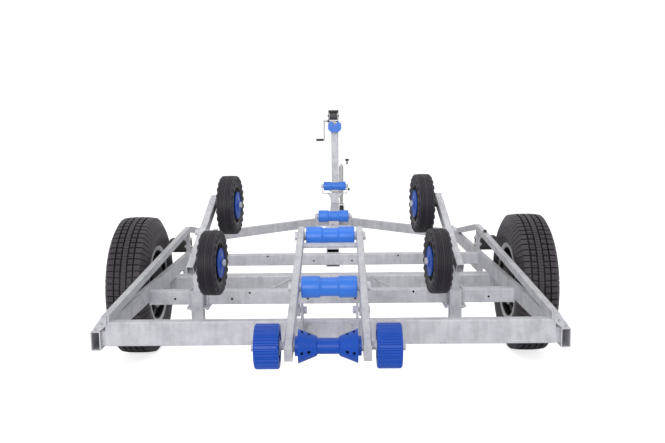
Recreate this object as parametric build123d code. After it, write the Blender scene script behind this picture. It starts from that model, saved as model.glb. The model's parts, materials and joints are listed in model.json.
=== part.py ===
"""Keel-roller boat trailer with a single axle, in build123d.

Frame: +X to the right, +Y forward to the coupling, +Z up, millimetres.  Lengths along the trailer are
first written as stations, measured forward from the wheel axis; the finished nodes are then moved so that
the origin is on the ground, under the middle of the whole trailer.
"""
import os
from math import atan2, cos, pi, radians, sin, tan

from build123d import *

# ---------------------------------------------------------------- driving sizes
# chassis
CHASSIS_TOP = 404          # height of the top of the side beams
BEAM_HEIGHT = 62
BEAM_FLANGE = 25           # side beams are channels, open to the outside
BEAM_WALL = 4
SLOT_STATION = -600        # upright slot in each side beam's web
SLOT_WIDTH = 12
SLOT_HEIGHT = 24
HALF_WIDTH = 808           # middle of the trailer to the outer edge of a side beam
REAR_FACE = -1000          # station of the rear crossbeam's rear face
BEAM_FRONT = 1425          # station of the side beams' front ends, where the braces meet them
REAR_DEPTH = 40            # rear crossbeam along the trailer
REAR_HEIGHT = 88
REAR_SHORT = 11            # rear crossbeam's end, inboard of the side beam's outer edge
TUBE_WALL = 3
CROSS_SIZE = 50            # the two inner crossbeams along the trailer
CROSS_HEIGHT = 60
CROSS_TOP = 386            # top of the middle crossbeam
FRONT_TOP = 397            # top of the front crossbeam
HOLE_RADIUS = 5
MIDDLE_STATION = -398      # middle of the middle crossbeam
FRONT_STATION = 437        # middle of the front crossbeam

# drawbar
DRAWBAR_WIDTH = 70
DRAWBAR_HEIGHT = 100
DRAWBAR_TOP = 419
DRAWBAR_WALL = 4
DRAWBAR_FRONT = 5010       # station of the drawbar's front end
BRACE_WIDTH = 40
BRACE_HEIGHT = 60
BRACE_TOP = 390
BRACE_INNER_STATION = 2110  # where the braces' rear edge meets the drawbar

# axle and wheels
WHEEL_RADIUS = 328
TYRE_WIDTH = 194
WHEEL_GAP = 24             # side beam to tyre
HALF_TRACK = HALF_WIDTH + WHEEL_GAP + TYRE_WIDTH / 2
RIM_RADIUS = 178
RIM_HOLES = 8
RIM_HOLES_AT = 122         # radius of the circle of cooling holes
AXLE_SIZE = 80
AXLE_LEAD = 150            # the axle beam lies ahead of the wheel axis
AXLE_MOUNT_START = 292     # stations of the mounting rail under each side beam
AXLE_MOUNT_END = 640
AXLE_MOUNT_DEPTH = 50
STAY_AXLE_X = 213          # the thin stays from the axle to the middle crossbeam
STAY_CROSS_X = 277
STAY_RADIUS = 5
ARM_THICKNESS = 22
ARM_GAP = 2                # arm to side beam
ARM_EYE = 40               # radius of the arm's eye on the axle
ARM_HUB = 32               # radius of the arm's end at the wheel
STUB_RADIUS = 20
STUB_END = 22              # bore's blind end, measured from the wheel's middle
RUNNING = 0.05             # radial clearance of a shaft in its bore

# guard rails above the side beams
RAIL_WIDTH = 25
RAIL_HEIGHT = 30
RAIL_REAR_TOP = 428        # top of the rail's rear end
RAIL_APEX_TOP = 540
RAIL_APEX_STATION = 490
RAIL_APEX_FLAT = 30        # half the level stretch at the apex
RAIL_FOOT_STATION = 1215
POST_SIZE = 20
LUG_THICKNESS = 5

# lamp-board sockets at the rear corners
SOCKET_GAP = 7             # side beam's outer edge to the socket
SOCKET_WIDTH = 35
SOCKET_HEIGHT = 70
SOCKET_LENGTH = 150
SOCKET_WALL = 4
SOCKET_TOP = 372

# ribbed steps ahead of the wheels
STEP_LEAD = 60             # from the rail's apex forward to the step
STEP_DEPTH = 110
STEP_REACH = 108
STEP_TOP = 457
STEP_HEIGHT = 66
STEP_RIBS = 5

# keel rollers
ROLLER_LENGTH = 190
ROLLER_RADIUS = 37.5
ROLLER_WAIST = 32.5
ROLLER_NECK = 28.5         # half the length of the slim middle
ROLLER_GAP = 8             # roller's end to the ear that carries it, filled by a washer
ROLLER_SEAT = 0.3          # washer to roller
WASHER_RADIUS = 17
PIN_RADIUS = 10

# rocker at the stern
ROCKER_REAR_STATION = -1436
ROCKER_REAR_HEIGHT = 444
ROCKER_ANGLE = 14.9
ROCKER_HALF_GAP = ROLLER_LENGTH / 2 + ROLLER_GAP   # middle to the inner face of a rocker tube
ROCKER_TUBE_WIDTH = 25
ROCKER_TUBE_HEIGHT = 50
ROCKER_LENGTH = 900
ROCKER_OVERHANG = 45       # tube behind the rear roller's axis
LOWER_ROLLER_AT = 380      # along the rocker, from the rear roller's axis
TOP_ROLLER_AT = 818
PIVOT_STATION = -1030
PIVOT_HEIGHT = 451
PIVOT_RADIUS = 8
PIVOT_BOSS = 22
LUG_SPREAD = 50            # half the length of a pivot lug along its tube
BRACKET_GAP = 3            # bracket's ear to the rocker tube
BRACKET_THICKNESS = 8
BRACKET_DROP = 70          # foot of the bracket below the chassis top
GUIDE_RADIUS = 67
GUIDE_WIDTH = 73
GUIDE_GAP = 15
GUIDE_RIBS = 26
STERN_LENGTH = 196
STERN_WING = 51            # radius of the stern roller's flared wings
STERN_CORE = 24

# rollers on the drawbar
KEEL3_STATION = 1172
KEEL3_HEIGHT = 512
KEEL4_STATION = 2922
KEEL4_HEIGHT = 562
KEEL3_DROP = 64            # roller's axis down to its strap
KEEL4_DROP = 65
PEDESTAL_TOP = 125         # width of the forward pedestal under its strap

# side wheels
SIDE_RADIUS = 130
SIDE_WIDTH = 85
SIDE_SPACING = 408
SIDE_SPOKES = 10
SIDE_ANGLE = 28.3
SIDE_TOE = 4
SIDE_PIVOT_HEIGHT = 645
SIDE_PIN_RADIUS = 8
SIDE_STUB_RADIUS = 10
BAR_WIDTH = 30
BAR_HEIGHT = 40
BAR_OVERHANG = 52
BAR_WASHER = 2             # between the upright's ear and the bar
BAR_SPACER = 20            # between the bar and a side wheel
EAR_DROP = 80              # from the bar's pivot down to the top of the square upright
EAR_RADIUS = 20
EAR_THICKNESS = 6
SLEEVE_SIZE = 50
SLEEVE_WALL = 4
INNER_SIZE = 32
SADDLE_THICKNESS = 8       # plate under the middle crossbeam
SADDLE_HALF = 44
U_BOLT_RADIUS = 5
U_BOLT_GAP = 1             # crossbeam to U-bolt
U_BOLT_SPREAD = 36         # sleeve's middle to a U-bolt
SLEEVE_BOTTOM = 200
# side, sign of X, distance of the sleeve from the middle
SIDES = (("left", -1, 571), ("right", 1, 527))

# winch post
WINCH_STATION = 4060
WINCH_LEFT = -62           # outer faces of the winch's cheeks
WINCH_RIGHT = 38
WINCH_SHAFT_RADIUS = 8
DRUM_LEFT = -54
DRUM_RIGHT = 30
DRUM_RADIUS = 46
WINCH_POST_SIZE = 70
WINCH_POST_TOP = 1100
DRUM_AHEAD = 10            # drum's axis ahead of the post's middle
DRUM_UP = 80               # post's top to the drum's axis
WINCH_CHEEK = 55           # drum's axis to the top of the winch's cheeks
STOP_DEPTH = 60            # bow stop along the trailer
CRANK_AHEAD = 62
CRANK_DROP = 52            # drum's axis down to the crank's shaft
CRANK_REACH = 190

# jockey wheel
JOCKEY_STATION = 4770
JOCKEY_TUBE_RADIUS = 24
JOCKEY_OFFSET = 64         # middle of the drawbar to the jockey tube
JOCKEY_TUBE_TOP = 628
JOCKEY_TUBE_BOTTOM = 322
JOCKEY_LEG_TOP = 500
JOCKEY_LEG_RADIUS = 19
JOCKEY_WHEEL_RADIUS = 100
JOCKEY_WHEEL_WIDTH = 50
JOCKEY_TRAIL = 34
JOCKEY_AXLE_RADIUS = 8
CLAMP_DROP = 14            # drawbar's top down to the clamp's
CLAMP_HEIGHT = 60

# coupling
COUPLING_LENGTH = 255
BALL_RADIUS = 25

# ---------------------------------------------------------------- worked out
TAIL = ROCKER_REAR_STATION - GUIDE_RADIUS
NOSE = DRAWBAR_FRONT + COUPLING_LENGTH
MIDDLE = (TAIL + NOSE) / 2         # station of the origin
CHASSIS_BOTTOM = CHASSIS_TOP - BEAM_HEIGHT
WEB_X = HALF_WIDTH - BEAM_FLANGE   # inner face of a side beam's web
ROCKER_MIDDLE_X = ROCKER_HALF_GAP + ROCKER_TUBE_WIDTH / 2
ROCKER_OUTER_X = ROCKER_HALF_GAP + ROCKER_TUBE_WIDTH
DRAWBAR_REAR = FRONT_STATION + CROSS_SIZE / 2
SOCKET_MIDDLE_X = HALF_WIDTH + SOCKET_GAP + SOCKET_WIDTH / 2
DRUM_HEIGHT = WINCH_POST_TOP + DRUM_UP
CRANK_HEIGHT = DRUM_HEIGHT - CRANK_DROP
JOCKEY_LEG_BOTTOM = 2 * JOCKEY_WHEEL_RADIUS + 22


# ---------------------------------------------------------------- helpers
def block(x0, x1, y0, y1, z0, z1):
    """A box between two corners."""
    size = Box(x1 - x0, y1 - y0, z1 - z0)
    return Pos((x0 + x1) / 2, (y0 + y1) / 2, (z0 + z1) / 2) * size


def rod(p, q, radius):
    """A round bar from p to q."""
    start, end = Vector(*p), Vector(*q)
    plane = Plane(origin=start, z_dir=end - start)
    return extrude(plane * Circle(radius), (end - start).length)


def x_rod(x0, x1, y, z, radius):
    """A round bar along X."""
    return rod((min(x0, x1), y, z), (max(x0, x1), y, z), radius)


def hexagon(x0, x1, y, z, across):
    """A hexagonal head or nut along X."""
    low, high = min(x0, x1), max(x0, x1)
    plane = Plane(origin=(low, y, z), x_dir=(0, 1, 0), z_dir=(1, 0, 0))
    return extrude(plane * RegularPolygon(across / 2, 6, major_radius=False), high - low)


def plate_yz(points, x0, x1):
    """A flat plate across X with its outline in Y and Z."""
    low, high = min(x0, x1), max(x0, x1)
    plane = Plane(origin=(low, 0, 0), x_dir=(0, 1, 0), z_dir=(1, 0, 0))
    return extrude(plane * make_face(Polyline(*points, close=True)), high - low)


def plate_xy(points, z0, z1):
    """A flat plate with its outline in X and Y."""
    return extrude(Plane.XY.offset(z0) * make_face(Polyline(*points, close=True)), z1 - z0)


def plate_xz(points, y0, y1):
    """A flat plate across Y with its outline in X and Z."""
    plane = Plane(origin=(0, y1, 0), x_dir=(1, 0, 0), z_dir=(0, -1, 0))
    return extrude(plane * make_face(Polyline(*points, close=True)), y1 - y0)


def tube_along_y(width, height, wall, y0, y1, corner=4):
    """A rectangular tube along Y, centred on X = Z = 0."""
    plane = Plane(origin=(0, y1, 0), x_dir=(1, 0, 0), z_dir=(0, -1, 0))
    ring = RectangleRounded(width, height, corner) - Rectangle(width - 2 * wall, height - 2 * wall)
    return extrude(plane * ring, y1 - y0)


def tube_along_x(depth, height, wall, x0, x1, corner=4):
    """A rectangular tube along X, centred on Y = Z = 0."""
    plane = Plane(origin=(x0, 0, 0), x_dir=(0, 1, 0), z_dir=(1, 0, 0))
    ring = RectangleRounded(depth, height, corner) - Rectangle(depth - 2 * wall, height - 2 * wall)
    return extrude(plane * ring, x1 - x0)


def tube_along_z(size, wall, z0, z1, corner=3):
    """A square tube along Z, centred on X = Y = 0."""
    ring = RectangleRounded(size, size, corner) - Rectangle(size - 2 * wall, size - 2 * wall)
    return extrude(Plane.XY.offset(z0) * ring, z1 - z0)


def turned(points):
    """A solid of revolution about the X axis, from (x, radius) points."""
    return revolve(Plane.XY * make_face(Polyline(*points, close=True)), Axis.X)


def mirrored(solid, sign):
    """The solid as built for the right side, or its mirror image for the left."""
    return solid if sign > 0 else mirror(solid, Plane.YZ)


NODES = {}


def node(name, *solids):
    """Keeps a node, as one compound of its solids."""
    bodies = []
    for solid in solids:
        bodies.extend(solid.solids())
    NODES[name] = bodies[0] if len(bodies) == 1 else Compound(children=bodies)


# ---------------------------------------------------------------- chassis
def side_beam():
    """A channel with its web inwards and its flanges outwards, on the right."""
    rear = REAR_FACE + REAR_DEPTH
    section = make_face(
        Polyline(
            (0, 0), (BEAM_FLANGE, 0), (BEAM_FLANGE, BEAM_WALL), (BEAM_WALL, BEAM_WALL),
            (BEAM_WALL, BEAM_HEIGHT - BEAM_WALL), (BEAM_FLANGE, BEAM_HEIGHT - BEAM_WALL),
            (BEAM_FLANGE, BEAM_HEIGHT), (0, BEAM_HEIGHT), close=True,
        )
    )
    plane = Plane(origin=(WEB_X, BEAM_FRONT, CHASSIS_BOTTOM), x_dir=(1, 0, 0), z_dir=(0, -1, 0))
    channel = extrude(plane * section, BEAM_FRONT - rear)
    middle_z = CHASSIS_TOP - BEAM_HEIGHT / 2
    through = (WEB_X - 1, WEB_X + BEAM_WALL + 1)
    channel -= block(
        *through, SLOT_STATION - SLOT_WIDTH / 2, SLOT_STATION + SLOT_WIDTH / 2,
        middle_z - SLOT_HEIGHT / 2, middle_z + SLOT_HEIGHT / 2,
    )
    # drain holes just behind the inner crossbeams
    for station in (MIDDLE_STATION, FRONT_STATION):
        drain = station - CROSS_SIZE / 2 - 2 * HOLE_RADIUS
        channel -= x_rod(*through, drain, CHASSIS_BOTTOM + 3 * HOLE_RADIUS, HOLE_RADIUS)
    return channel


def rear_crossbeam():
    """The closed rear crossbeam with its end plates."""
    half = HALF_WIDTH - REAR_SHORT
    beam = Pos(0, REAR_FACE + REAR_DEPTH / 2, CHASSIS_TOP - REAR_HEIGHT / 2) * tube_along_x(
        REAR_DEPTH, REAR_HEIGHT, TUBE_WALL, -half, half
    )
    for sign in (-1, 1):
        end = Pos(half - TUBE_WALL / 2, REAR_FACE + REAR_DEPTH / 2, CHASSIS_TOP - REAR_HEIGHT / 2) * Box(
            TUBE_WALL, REAR_DEPTH - 2 * TUBE_WALL, REAR_HEIGHT - 2 * TUBE_WALL
        )
        beam += mirrored(end, sign)
    return beam


def inner_crossbeam(station, top, holes):
    """A tube between the side beams, with drilled holes in its rear face."""
    beam = Pos(0, station, top - CROSS_HEIGHT / 2) * tube_along_x(
        CROSS_SIZE, CROSS_HEIGHT, TUBE_WALL, -WEB_X, WEB_X
    )
    rear = station - CROSS_SIZE / 2
    for x, below_top in holes:
        beam -= rod((x, rear - 1, top - below_top), (x, rear + TUBE_WALL + 1, top - below_top), HOLE_RADIUS)
    return beam


def drawbar_tube():
    """The long rectangular tube from the front crossbeam to the coupling."""
    return Pos(0, 0, DRAWBAR_TOP - DRAWBAR_HEIGHT / 2) * tube_along_y(
        DRAWBAR_WIDTH, DRAWBAR_HEIGHT, DRAWBAR_WALL, DRAWBAR_REAR, DRAWBAR_FRONT, 8
    )


def drawbar_brace():
    """The slanting tube from the side beam's front end to the drawbar, on the right."""
    inner_x = DRAWBAR_WIDTH / 2
    slant = BRACE_WIDTH / sin(radians(45))
    outer_station = BRACE_INNER_STATION - (WEB_X - inner_x)

    def outline(inset):
        return [
            (inner_x, BRACE_INNER_STATION + inset * 1.4142),
            (WEB_X, outer_station + inset * 1.4142),
            (WEB_X, outer_station + slant - inset * 1.4142),
            (inner_x, BRACE_INNER_STATION + slant - inset * 1.4142),
        ]

    outer = plate_xy(outline(0), BRACE_TOP - BRACE_HEIGHT, BRACE_TOP)
    inner = plate_xy(outline(TUBE_WALL), BRACE_TOP - BRACE_HEIGHT + TUBE_WALL, BRACE_TOP - TUBE_WALL)
    return outer - inner


def guard_rail():
    """The bent rail above the wheel, its post and the lug at its rear end, on the right."""
    inner, outer = HALF_WIDTH - RAIL_WIDTH, HALF_WIDTH
    low = CHASSIS_TOP
    top = RAIL_APEX_TOP
    flat_rear = RAIL_APEX_STATION - RAIL_APEX_FLAT
    flat_front = RAIL_APEX_STATION + RAIL_APEX_FLAT
    rise = (top - RAIL_REAR_TOP) / (flat_rear - REAR_FACE)
    foot_top = low + RAIL_HEIGHT / 2
    fall = (top - foot_top) / (RAIL_FOOT_STATION - flat_front)
    outline = [
        (REAR_FACE, low),
        (REAR_FACE, RAIL_REAR_TOP),
        (flat_rear, top),
        (flat_front, top),
        (RAIL_FOOT_STATION, foot_top),
        (RAIL_FOOT_STATION, low),
        (flat_front + (top - RAIL_HEIGHT - low) / fall, low),
        (flat_front, top - RAIL_HEIGHT),
        (flat_rear, top - RAIL_HEIGHT),
        (REAR_FACE + (low + RAIL_HEIGHT - RAIL_REAR_TOP) / rise, low),
    ]
    rail = plate_yz(outline, inner, outer)
    middle = (inner + outer) / 2
    rail += block(
        middle - POST_SIZE / 2, middle + POST_SIZE / 2,
        RAIL_APEX_STATION - POST_SIZE / 2, RAIL_APEX_STATION + POST_SIZE / 2,
        low, top - RAIL_HEIGHT / 2,
    )
    # the lug slants from the rail's end over the rear crossbeam's corner to the lamp socket
    behind = REAR_FACE - LUG_THICKNESS
    corner = HALF_WIDTH + RAIL_WIDTH
    lug = plate_xz(
        [
            (inner + 8, RAIL_REAR_TOP), (outer, RAIL_REAR_TOP), (outer + 9, RAIL_REAR_TOP - 16),
            (corner + 8, SOCKET_TOP + 10), (corner + 3, SOCKET_TOP + 0.3), (corner - 14, SOCKET_TOP + 0.3),
            (inner + 8, low - 10),
        ],
        behind, REAR_FACE,
    )
    for x, z in ((outer - 2, low - 3), (corner - 4, SOCKET_TOP + 8)):
        lug -= rod((x, behind - 1, z), (x, REAR_FACE + 1, z), HOLE_RADIUS)
    # clear of the crossbeam's rear face
    lug -= block(0, HALF_WIDTH - REAR_SHORT + 1, REAR_FACE - 0.3, REAR_FACE + 1, 0, low)
    return rail + lug


def lamp_socket():
    """The short open tube for a lamp board and the plate that carries it, on the right."""
    rear = REAR_FACE - LUG_THICKNESS
    tube = Pos(SOCKET_MIDDLE_X, 0, SOCKET_TOP - SOCKET_HEIGHT / 2) * tube_along_y(
        SOCKET_WIDTH, SOCKET_HEIGHT, SOCKET_WALL, rear, rear + SOCKET_LENGTH
    )
    carrier = block(
        HALF_WIDTH - REAR_SHORT, HALF_WIDTH + SOCKET_GAP + 1,
        REAR_FACE + 12, REAR_FACE + REAR_DEPTH - 6,
        CHASSIS_TOP - REAR_HEIGHT, SOCKET_TOP - 4,
    )
    return tube + carrier


def step():
    """The ribbed plastic step outboard of the side beam, ahead of the wheel, on the right."""
    wall = 4
    y0 = RAIL_APEX_STATION + STEP_LEAD
    y1 = y0 + STEP_DEPTH
    x0, x1 = HALF_WIDTH, HALF_WIDTH + STEP_REACH
    bottom = STEP_TOP - STEP_HEIGHT
    outline = [(y0, bottom), (y0 + 18, STEP_TOP), (y1 - 10, STEP_TOP), (y1, STEP_TOP - 12), (y1, bottom)]
    inside = [(y0 + wall, bottom - 1), (y0 + 18 + wall, STEP_TOP - wall), (y1 - wall, STEP_TOP - wall),
              (y1 - wall, bottom - 1)]
    shell = plate_yz(outline, x0, x1) - plate_yz(inside, x0 + wall, x1 - wall)
    # the mounting tongue lies against the side beam's flanges
    shell += block(x0, x0 + wall, y0 + 20, y1 - 20, CHASSIS_BOTTOM + 4, bottom + 1)
    rib = 3
    for k in range(STEP_RIBS):
        y = y0 + 24 + (STEP_DEPTH - 44) * k / (STEP_RIBS - 1)
        shell += block(x0, x1, y - rib, y + rib, STEP_TOP - 1, STEP_TOP + rib)
    for k in range(1, STEP_RIBS):
        up = k / STEP_RIBS
        y, z = y0 + 18 * up, bottom + STEP_HEIGHT * up
        shell += block(x0, x1, y - rib, y + 2, z - rib / 2, z + rib / 2)
    return shell


# ---------------------------------------------------------------- axle and wheels
def axle_beam():
    """The axle's square tube, its mounting rails under the side beams and its two thin stays."""
    z = CHASSIS_BOTTOM - AXLE_SIZE / 2
    beam = Pos(0, AXLE_LEAD, z) * tube_along_x(AXLE_SIZE, AXLE_SIZE, 6, -HALF_WIDTH, HALF_WIDTH, 8)
    front = AXLE_LEAD + AXLE_SIZE / 2
    low = CHASSIS_BOTTOM - AXLE_MOUNT_DEPTH
    for sign in (-1, 1):
        # a folded rail: web, foot and a strap along the bottom back to the axle
        rail = block(WEB_X, WEB_X + BEAM_WALL, AXLE_MOUNT_START, AXLE_MOUNT_END, low, CHASSIS_BOTTOM)
        rail += block(WEB_X, HALF_WIDTH, front - 8, AXLE_MOUNT_END, low, low + BEAM_WALL)
        rail += block(
            WEB_X, HALF_WIDTH, AXLE_MOUNT_START, AXLE_MOUNT_END, CHASSIS_BOTTOM - BEAM_WALL, CHASSIS_BOTTOM
        )
        rail += block(WEB_X, WEB_X + BEAM_WALL, front - 2, AXLE_MOUNT_START + 1, low, low + 14)
        beam += mirrored(rail, sign)
        stay = rod(
            (STAY_AXLE_X, AXLE_LEAD - AXLE_SIZE / 2 + 3, z + AXLE_SIZE / 4),
            (STAY_CROSS_X, MIDDLE_STATION + CROSS_SIZE / 2 + 0.3, CROSS_TOP - 2 * STAY_RADIUS),
            STAY_RADIUS,
        )
        stay -= block(0, HALF_WIDTH, MIDDLE_STATION, MIDDLE_STATION + CROSS_SIZE / 2 + 0.3, 0, CHASSIS_TOP)
        beam += mirrored(stay, sign)
    return beam


def trailing_arm():
    """The arm from the axle's end to the wheel, with its stub axle, on the right."""
    x0 = HALF_WIDTH + ARM_GAP
    x1 = x0 + ARM_THICKNESS
    z = CHASSIS_BOTTOM - AXLE_SIZE / 2
    arm = x_rod(x0, x1, AXLE_LEAD, z, ARM_EYE) + x_rod(x0, x1, 0, WHEEL_RADIUS, ARM_HUB)
    run = Vector(0, AXLE_LEAD, z) - Vector(0, 0, WHEEL_RADIUS)
    side = Vector(0, -run.Z, run.Y).normalized()
    a, b = side * ARM_EYE * 0.96, side * ARM_HUB * 0.96
    arm += plate_yz(
        [
            (AXLE_LEAD + a.Y, z + a.Z), (AXLE_LEAD - a.Y, z - a.Z),
            (-b.Y, WHEEL_RADIUS - b.Z), (b.Y, WHEEL_RADIUS + b.Z),
        ],
        x0, x1,
    )
    arm += x_rod(HALF_WIDTH, x0, AXLE_LEAD, z, ARM_EYE)
    arm += x_rod(x1, HALF_TRACK + 20, 0, WHEEL_RADIUS, STUB_RADIUS)
    return arm


def tyre():
    """The road tyre, about X, centred on the origin."""
    half = TYRE_WIDTH / 2
    r = WHEEL_RADIUS
    return turned(
        [
            (-72, RIM_RADIUS - 9.8), (-80, RIM_RADIUS + 13), (-88, RIM_RADIUS + 34),
            (-half, r - 74), (-half + 6, r - 42), (-half + 19, r - 17), (-half + 31, r - 3), (-40, r - 0.6),
            (0, r),
            (40, r - 0.6), (half - 31, r - 3), (half - 19, r - 17), (half - 6, r - 42), (half, r - 74),
            (88, RIM_RADIUS + 34), (80, RIM_RADIUS + 13), (72, RIM_RADIUS - 9.8),
        ]
    )


def rim():
    """The steel rim with its disc, hub and brake drum, about X, outboard side at +X."""
    r = RIM_RADIUS
    barrel = turned(
        [
            (-84, r + 10), (-84, r - 2), (-79, r - 14), (-50, r - 16), (-40, r - 30), (20, r - 30),
            (34, r - 16), (79, r - 14), (84, r - 2), (84, r + 10), (80, r + 10), (79.5, r - 4),
            (74, r - 10), (34, r - 10), (26, r - 24), (-40, r - 24), (-52, r - 10), (-74, r - 10),
            (-79.5, r - 4), (-80, r + 10),
        ]
    )
    disc = turned(
        [
            (20, 20), (20, 60), (34, 80), (38, 120), (20, r - 29),
            (14, r - 29), (31, 118), (27, 84), (13, 62), (13, 20),
        ]
    )
    bore = STUB_RADIUS + RUNNING
    hub = turned(
        [
            (-78, bore), (-78, 112), (-30, 116), (-30, 62), (30, 40), (34, 32), (60, 30), (60, 0),
            (STUB_END, 0), (STUB_END, bore),
        ]
    )
    body = barrel + disc + hub
    hole = rod((10, 0, RIM_HOLES_AT), (45, 0, RIM_HOLES_AT), 15)
    for k in range(RIM_HOLES):
        body -= Rot(k * 360 / RIM_HOLES, 0, 0) * hole
    return body


# ---------------------------------------------------------------- rollers
def keel_roller():
    """A plain keel roller with a slimmer middle, about X."""
    half, r, w = ROLLER_LENGTH / 2, ROLLER_RADIUS, ROLLER_WAIST
    neck = ROLLER_NECK
    shoulder = neck + r - w + 0.8
    body = turned(
        [
            (-half, 0), (-half, r - 4), (-half + 1.2, r - 1.2), (-half + 4, r), (-shoulder, r), (-neck, w),
            (neck, w), (shoulder, r), (half - 4, r), (half - 1.2, r - 1.2), (half, r - 4), (half, 0),
        ]
    )
    return body - x_rod(-half - 1, half + 1, 0, 0, PIN_RADIUS + RUNNING)


def stern_roller():
    """The stern roller: a core between two flared wings with bosses at the ends, about X."""
    half = STERN_LENGTH / 2
    face = half - 10
    boss, root = 29.6, 34
    body = turned(
        [
            (-half, 0), (-half, boss), (-face, boss), (-face, STERN_WING), (-root, boss),
            (-root + 3, STERN_CORE), (root - 3, STERN_CORE),
            (root, boss), (face, STERN_WING), (face, boss), (half, boss), (half, 0),
        ]
    )
    body -= x_rod(-half - 1, half + 1, 0, 0, PIN_RADIUS + RUNNING)
    # rows of drain holes round the flared wings
    for quarter in range(4):
        for x in (-76, -56, 56, 76):
            body -= Rot(quarter * 90, 0, 0) * rod((x, 0, STERN_WING + 1), (x, 0, STERN_CORE + 4), 4)
    return body


def guide_wheel():
    """A wide guide wheel with rounded ribs across its tread, about X."""
    half = GUIDE_WIDTH / 2
    r = GUIDE_RADIUS
    body = turned([(-half, 0), (-half, r - 4), (-half + 4, r), (half - 4, r), (half, r - 4), (half, 0)])
    groove = x_rod(-half - 1, half + 1, 0, r + 0.8, 4.6)
    for k in range(GUIDE_RIBS):
        body -= Rot(k * 360 / GUIDE_RIBS, 0, 0) * groove
    for sign in (-1, 1):
        dish = turned([(half - 6, 26), (half + 1, 28), (half + 1, 50), (half - 6, 48)])
        body -= mirrored(dish, sign)
    return body - x_rod(-half - 1, half + 1, 0, 0, PIN_RADIUS + RUNNING)


def on_rocker(along, up=0):
    """Y and Z of a point on the rocker, measured from the rear roller's axis."""
    a = radians(ROCKER_ANGLE)
    return (
        ROCKER_REAR_STATION + along * cos(a) - up * sin(a),
        ROCKER_REAR_HEIGHT + along * sin(a) + up * cos(a),
    )


def rocker_frame():
    """Two tubes with their roller pins, tie and pivot lugs."""
    place = Pos(0, ROCKER_REAR_STATION, ROCKER_REAR_HEIGHT) * Rot(ROCKER_ANGLE, 0, 0)
    frame = None
    for sign in (-1, 1):
        width, height, tail = ROCKER_TUBE_WIDTH, ROCKER_TUBE_HEIGHT, -ROCKER_OVERHANG
        side = tube_along_y(width, height, TUBE_WALL, tail, tail + ROCKER_LENGTH)
        # the rear end is closed
        side += Pos(0, tail + TUBE_WALL / 2, 0) * Box(width, TUBE_WALL, height)
        side = Pos(sign * ROCKER_MIDDLE_X, 0, 0) * side
        frame = side if frame is None else frame + side
    tie_at = TOP_ROLLER_AT - 74
    frame += Pos(0, tie_at, -8) * Box(2 * ROCKER_HALF_GAP, 34, 8)
    reach = ROCKER_OUTER_X + 8
    seat = ROLLER_LENGTH / 2 + ROLLER_SEAT
    for along in (LOWER_ROLLER_AT, TOP_ROLLER_AT):
        frame += x_rod(-reach, reach, along, 0, PIN_RADIUS)
        for sign in (-1, 1):
            frame += x_rod(sign * seat, sign * ROCKER_HALF_GAP, along, 0, WASHER_RADIUS)
            frame += hexagon(sign * ROCKER_OUTER_X, sign * (ROCKER_OUTER_X + 12), along, 0, 30)
    # the stern pin carries the flared roller inside the tubes and a guide wheel outside each
    guide_in = ROCKER_OUTER_X + GUIDE_GAP
    guide_out = guide_in + GUIDE_WIDTH
    frame += x_rod(-guide_out - 12, guide_out + 12, 0, 0, PIN_RADIUS)
    stern_seat = STERN_LENGTH / 2 + ROLLER_SEAT
    for sign in (-1, 1):
        frame += x_rod(sign * stern_seat, sign * ROCKER_HALF_GAP, 0, 0, WASHER_RADIUS)
        frame += x_rod(sign * ROCKER_OUTER_X, sign * (guide_in - 3), 0, 0, PIN_RADIUS + 2)
        frame += x_rod(sign * (guide_in - 3), sign * (guide_in - ROLLER_SEAT), 0, 0, WASHER_RADIUS)
        frame += x_rod(sign * (guide_out + ROLLER_SEAT), sign * (guide_out + 3), 0, 0, WASHER_RADIUS)
        frame += hexagon(sign * (guide_out + 3), sign * (guide_out + 12), 0, 0, 26)
    frame = place * frame
    # lugs hang from the tubes to the pivot
    for sign in (-1, 1):
        along = LOWER_ROLLER_AT + 40
        inside_tube = 1 - ROCKER_TUBE_HEIGHT / 2
        lug = plate_yz(
            [
                on_rocker(along - LUG_SPREAD, inside_tube), on_rocker(along + LUG_SPREAD, inside_tube),
                (PIVOT_STATION + PIVOT_BOSS, PIVOT_HEIGHT - 2),
                (PIVOT_STATION - PIVOT_BOSS, PIVOT_HEIGHT - 2),
            ],
            ROCKER_MIDDLE_X - 5, ROCKER_MIDDLE_X + 5,
        )
        lug += x_rod(ROCKER_HALF_GAP, ROCKER_OUTER_X, PIVOT_STATION, PIVOT_HEIGHT, PIVOT_BOSS)
        bore = PIVOT_RADIUS + RUNNING
        lug -= x_rod(ROCKER_HALF_GAP - 1, ROCKER_OUTER_X + 1, PIVOT_STATION, PIVOT_HEIGHT, bore)
        frame += mirrored(lug, sign)
    return frame


def rocker_bracket():
    """The two ears on the rear crossbeam that carry the rocker, with their pivot bolts."""
    ears = []
    foot = CHASSIS_TOP - BRACKET_DROP
    x1 = ROCKER_HALF_GAP - BRACKET_GAP
    x0 = x1 - BRACKET_THICKNESS
    for sign in (-1, 1):
        ear = plate_yz(
            [
                (REAR_FACE, foot), (REAR_FACE - 20, foot), (REAR_FACE - 56, CHASSIS_TOP),
                (PIVOT_STATION - 24, PIVOT_HEIGHT), (PIVOT_STATION - 14, PIVOT_HEIGHT + 20),
                (PIVOT_STATION + 14, PIVOT_HEIGHT + 20), (PIVOT_STATION + 24, PIVOT_HEIGHT),
                (REAR_FACE, CHASSIS_TOP),
            ],
            x0, x1,
        )
        ear += block(x0 - 40, x0, REAR_FACE - 6, REAR_FACE, foot, CHASSIS_TOP - 4)
        ear += x_rod(x0 - 12, ROCKER_OUTER_X + 12, PIVOT_STATION, PIVOT_HEIGHT, PIVOT_RADIUS)
        ear += hexagon(x0 - 12, x0, PIVOT_STATION, PIVOT_HEIGHT, 24)
        ear += hexagon(ROCKER_OUTER_X + 2, ROCKER_OUTER_X + 12, PIVOT_STATION, PIVOT_HEIGHT, 24)
        ears.append(mirrored(ear, sign))
    return ears


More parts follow.
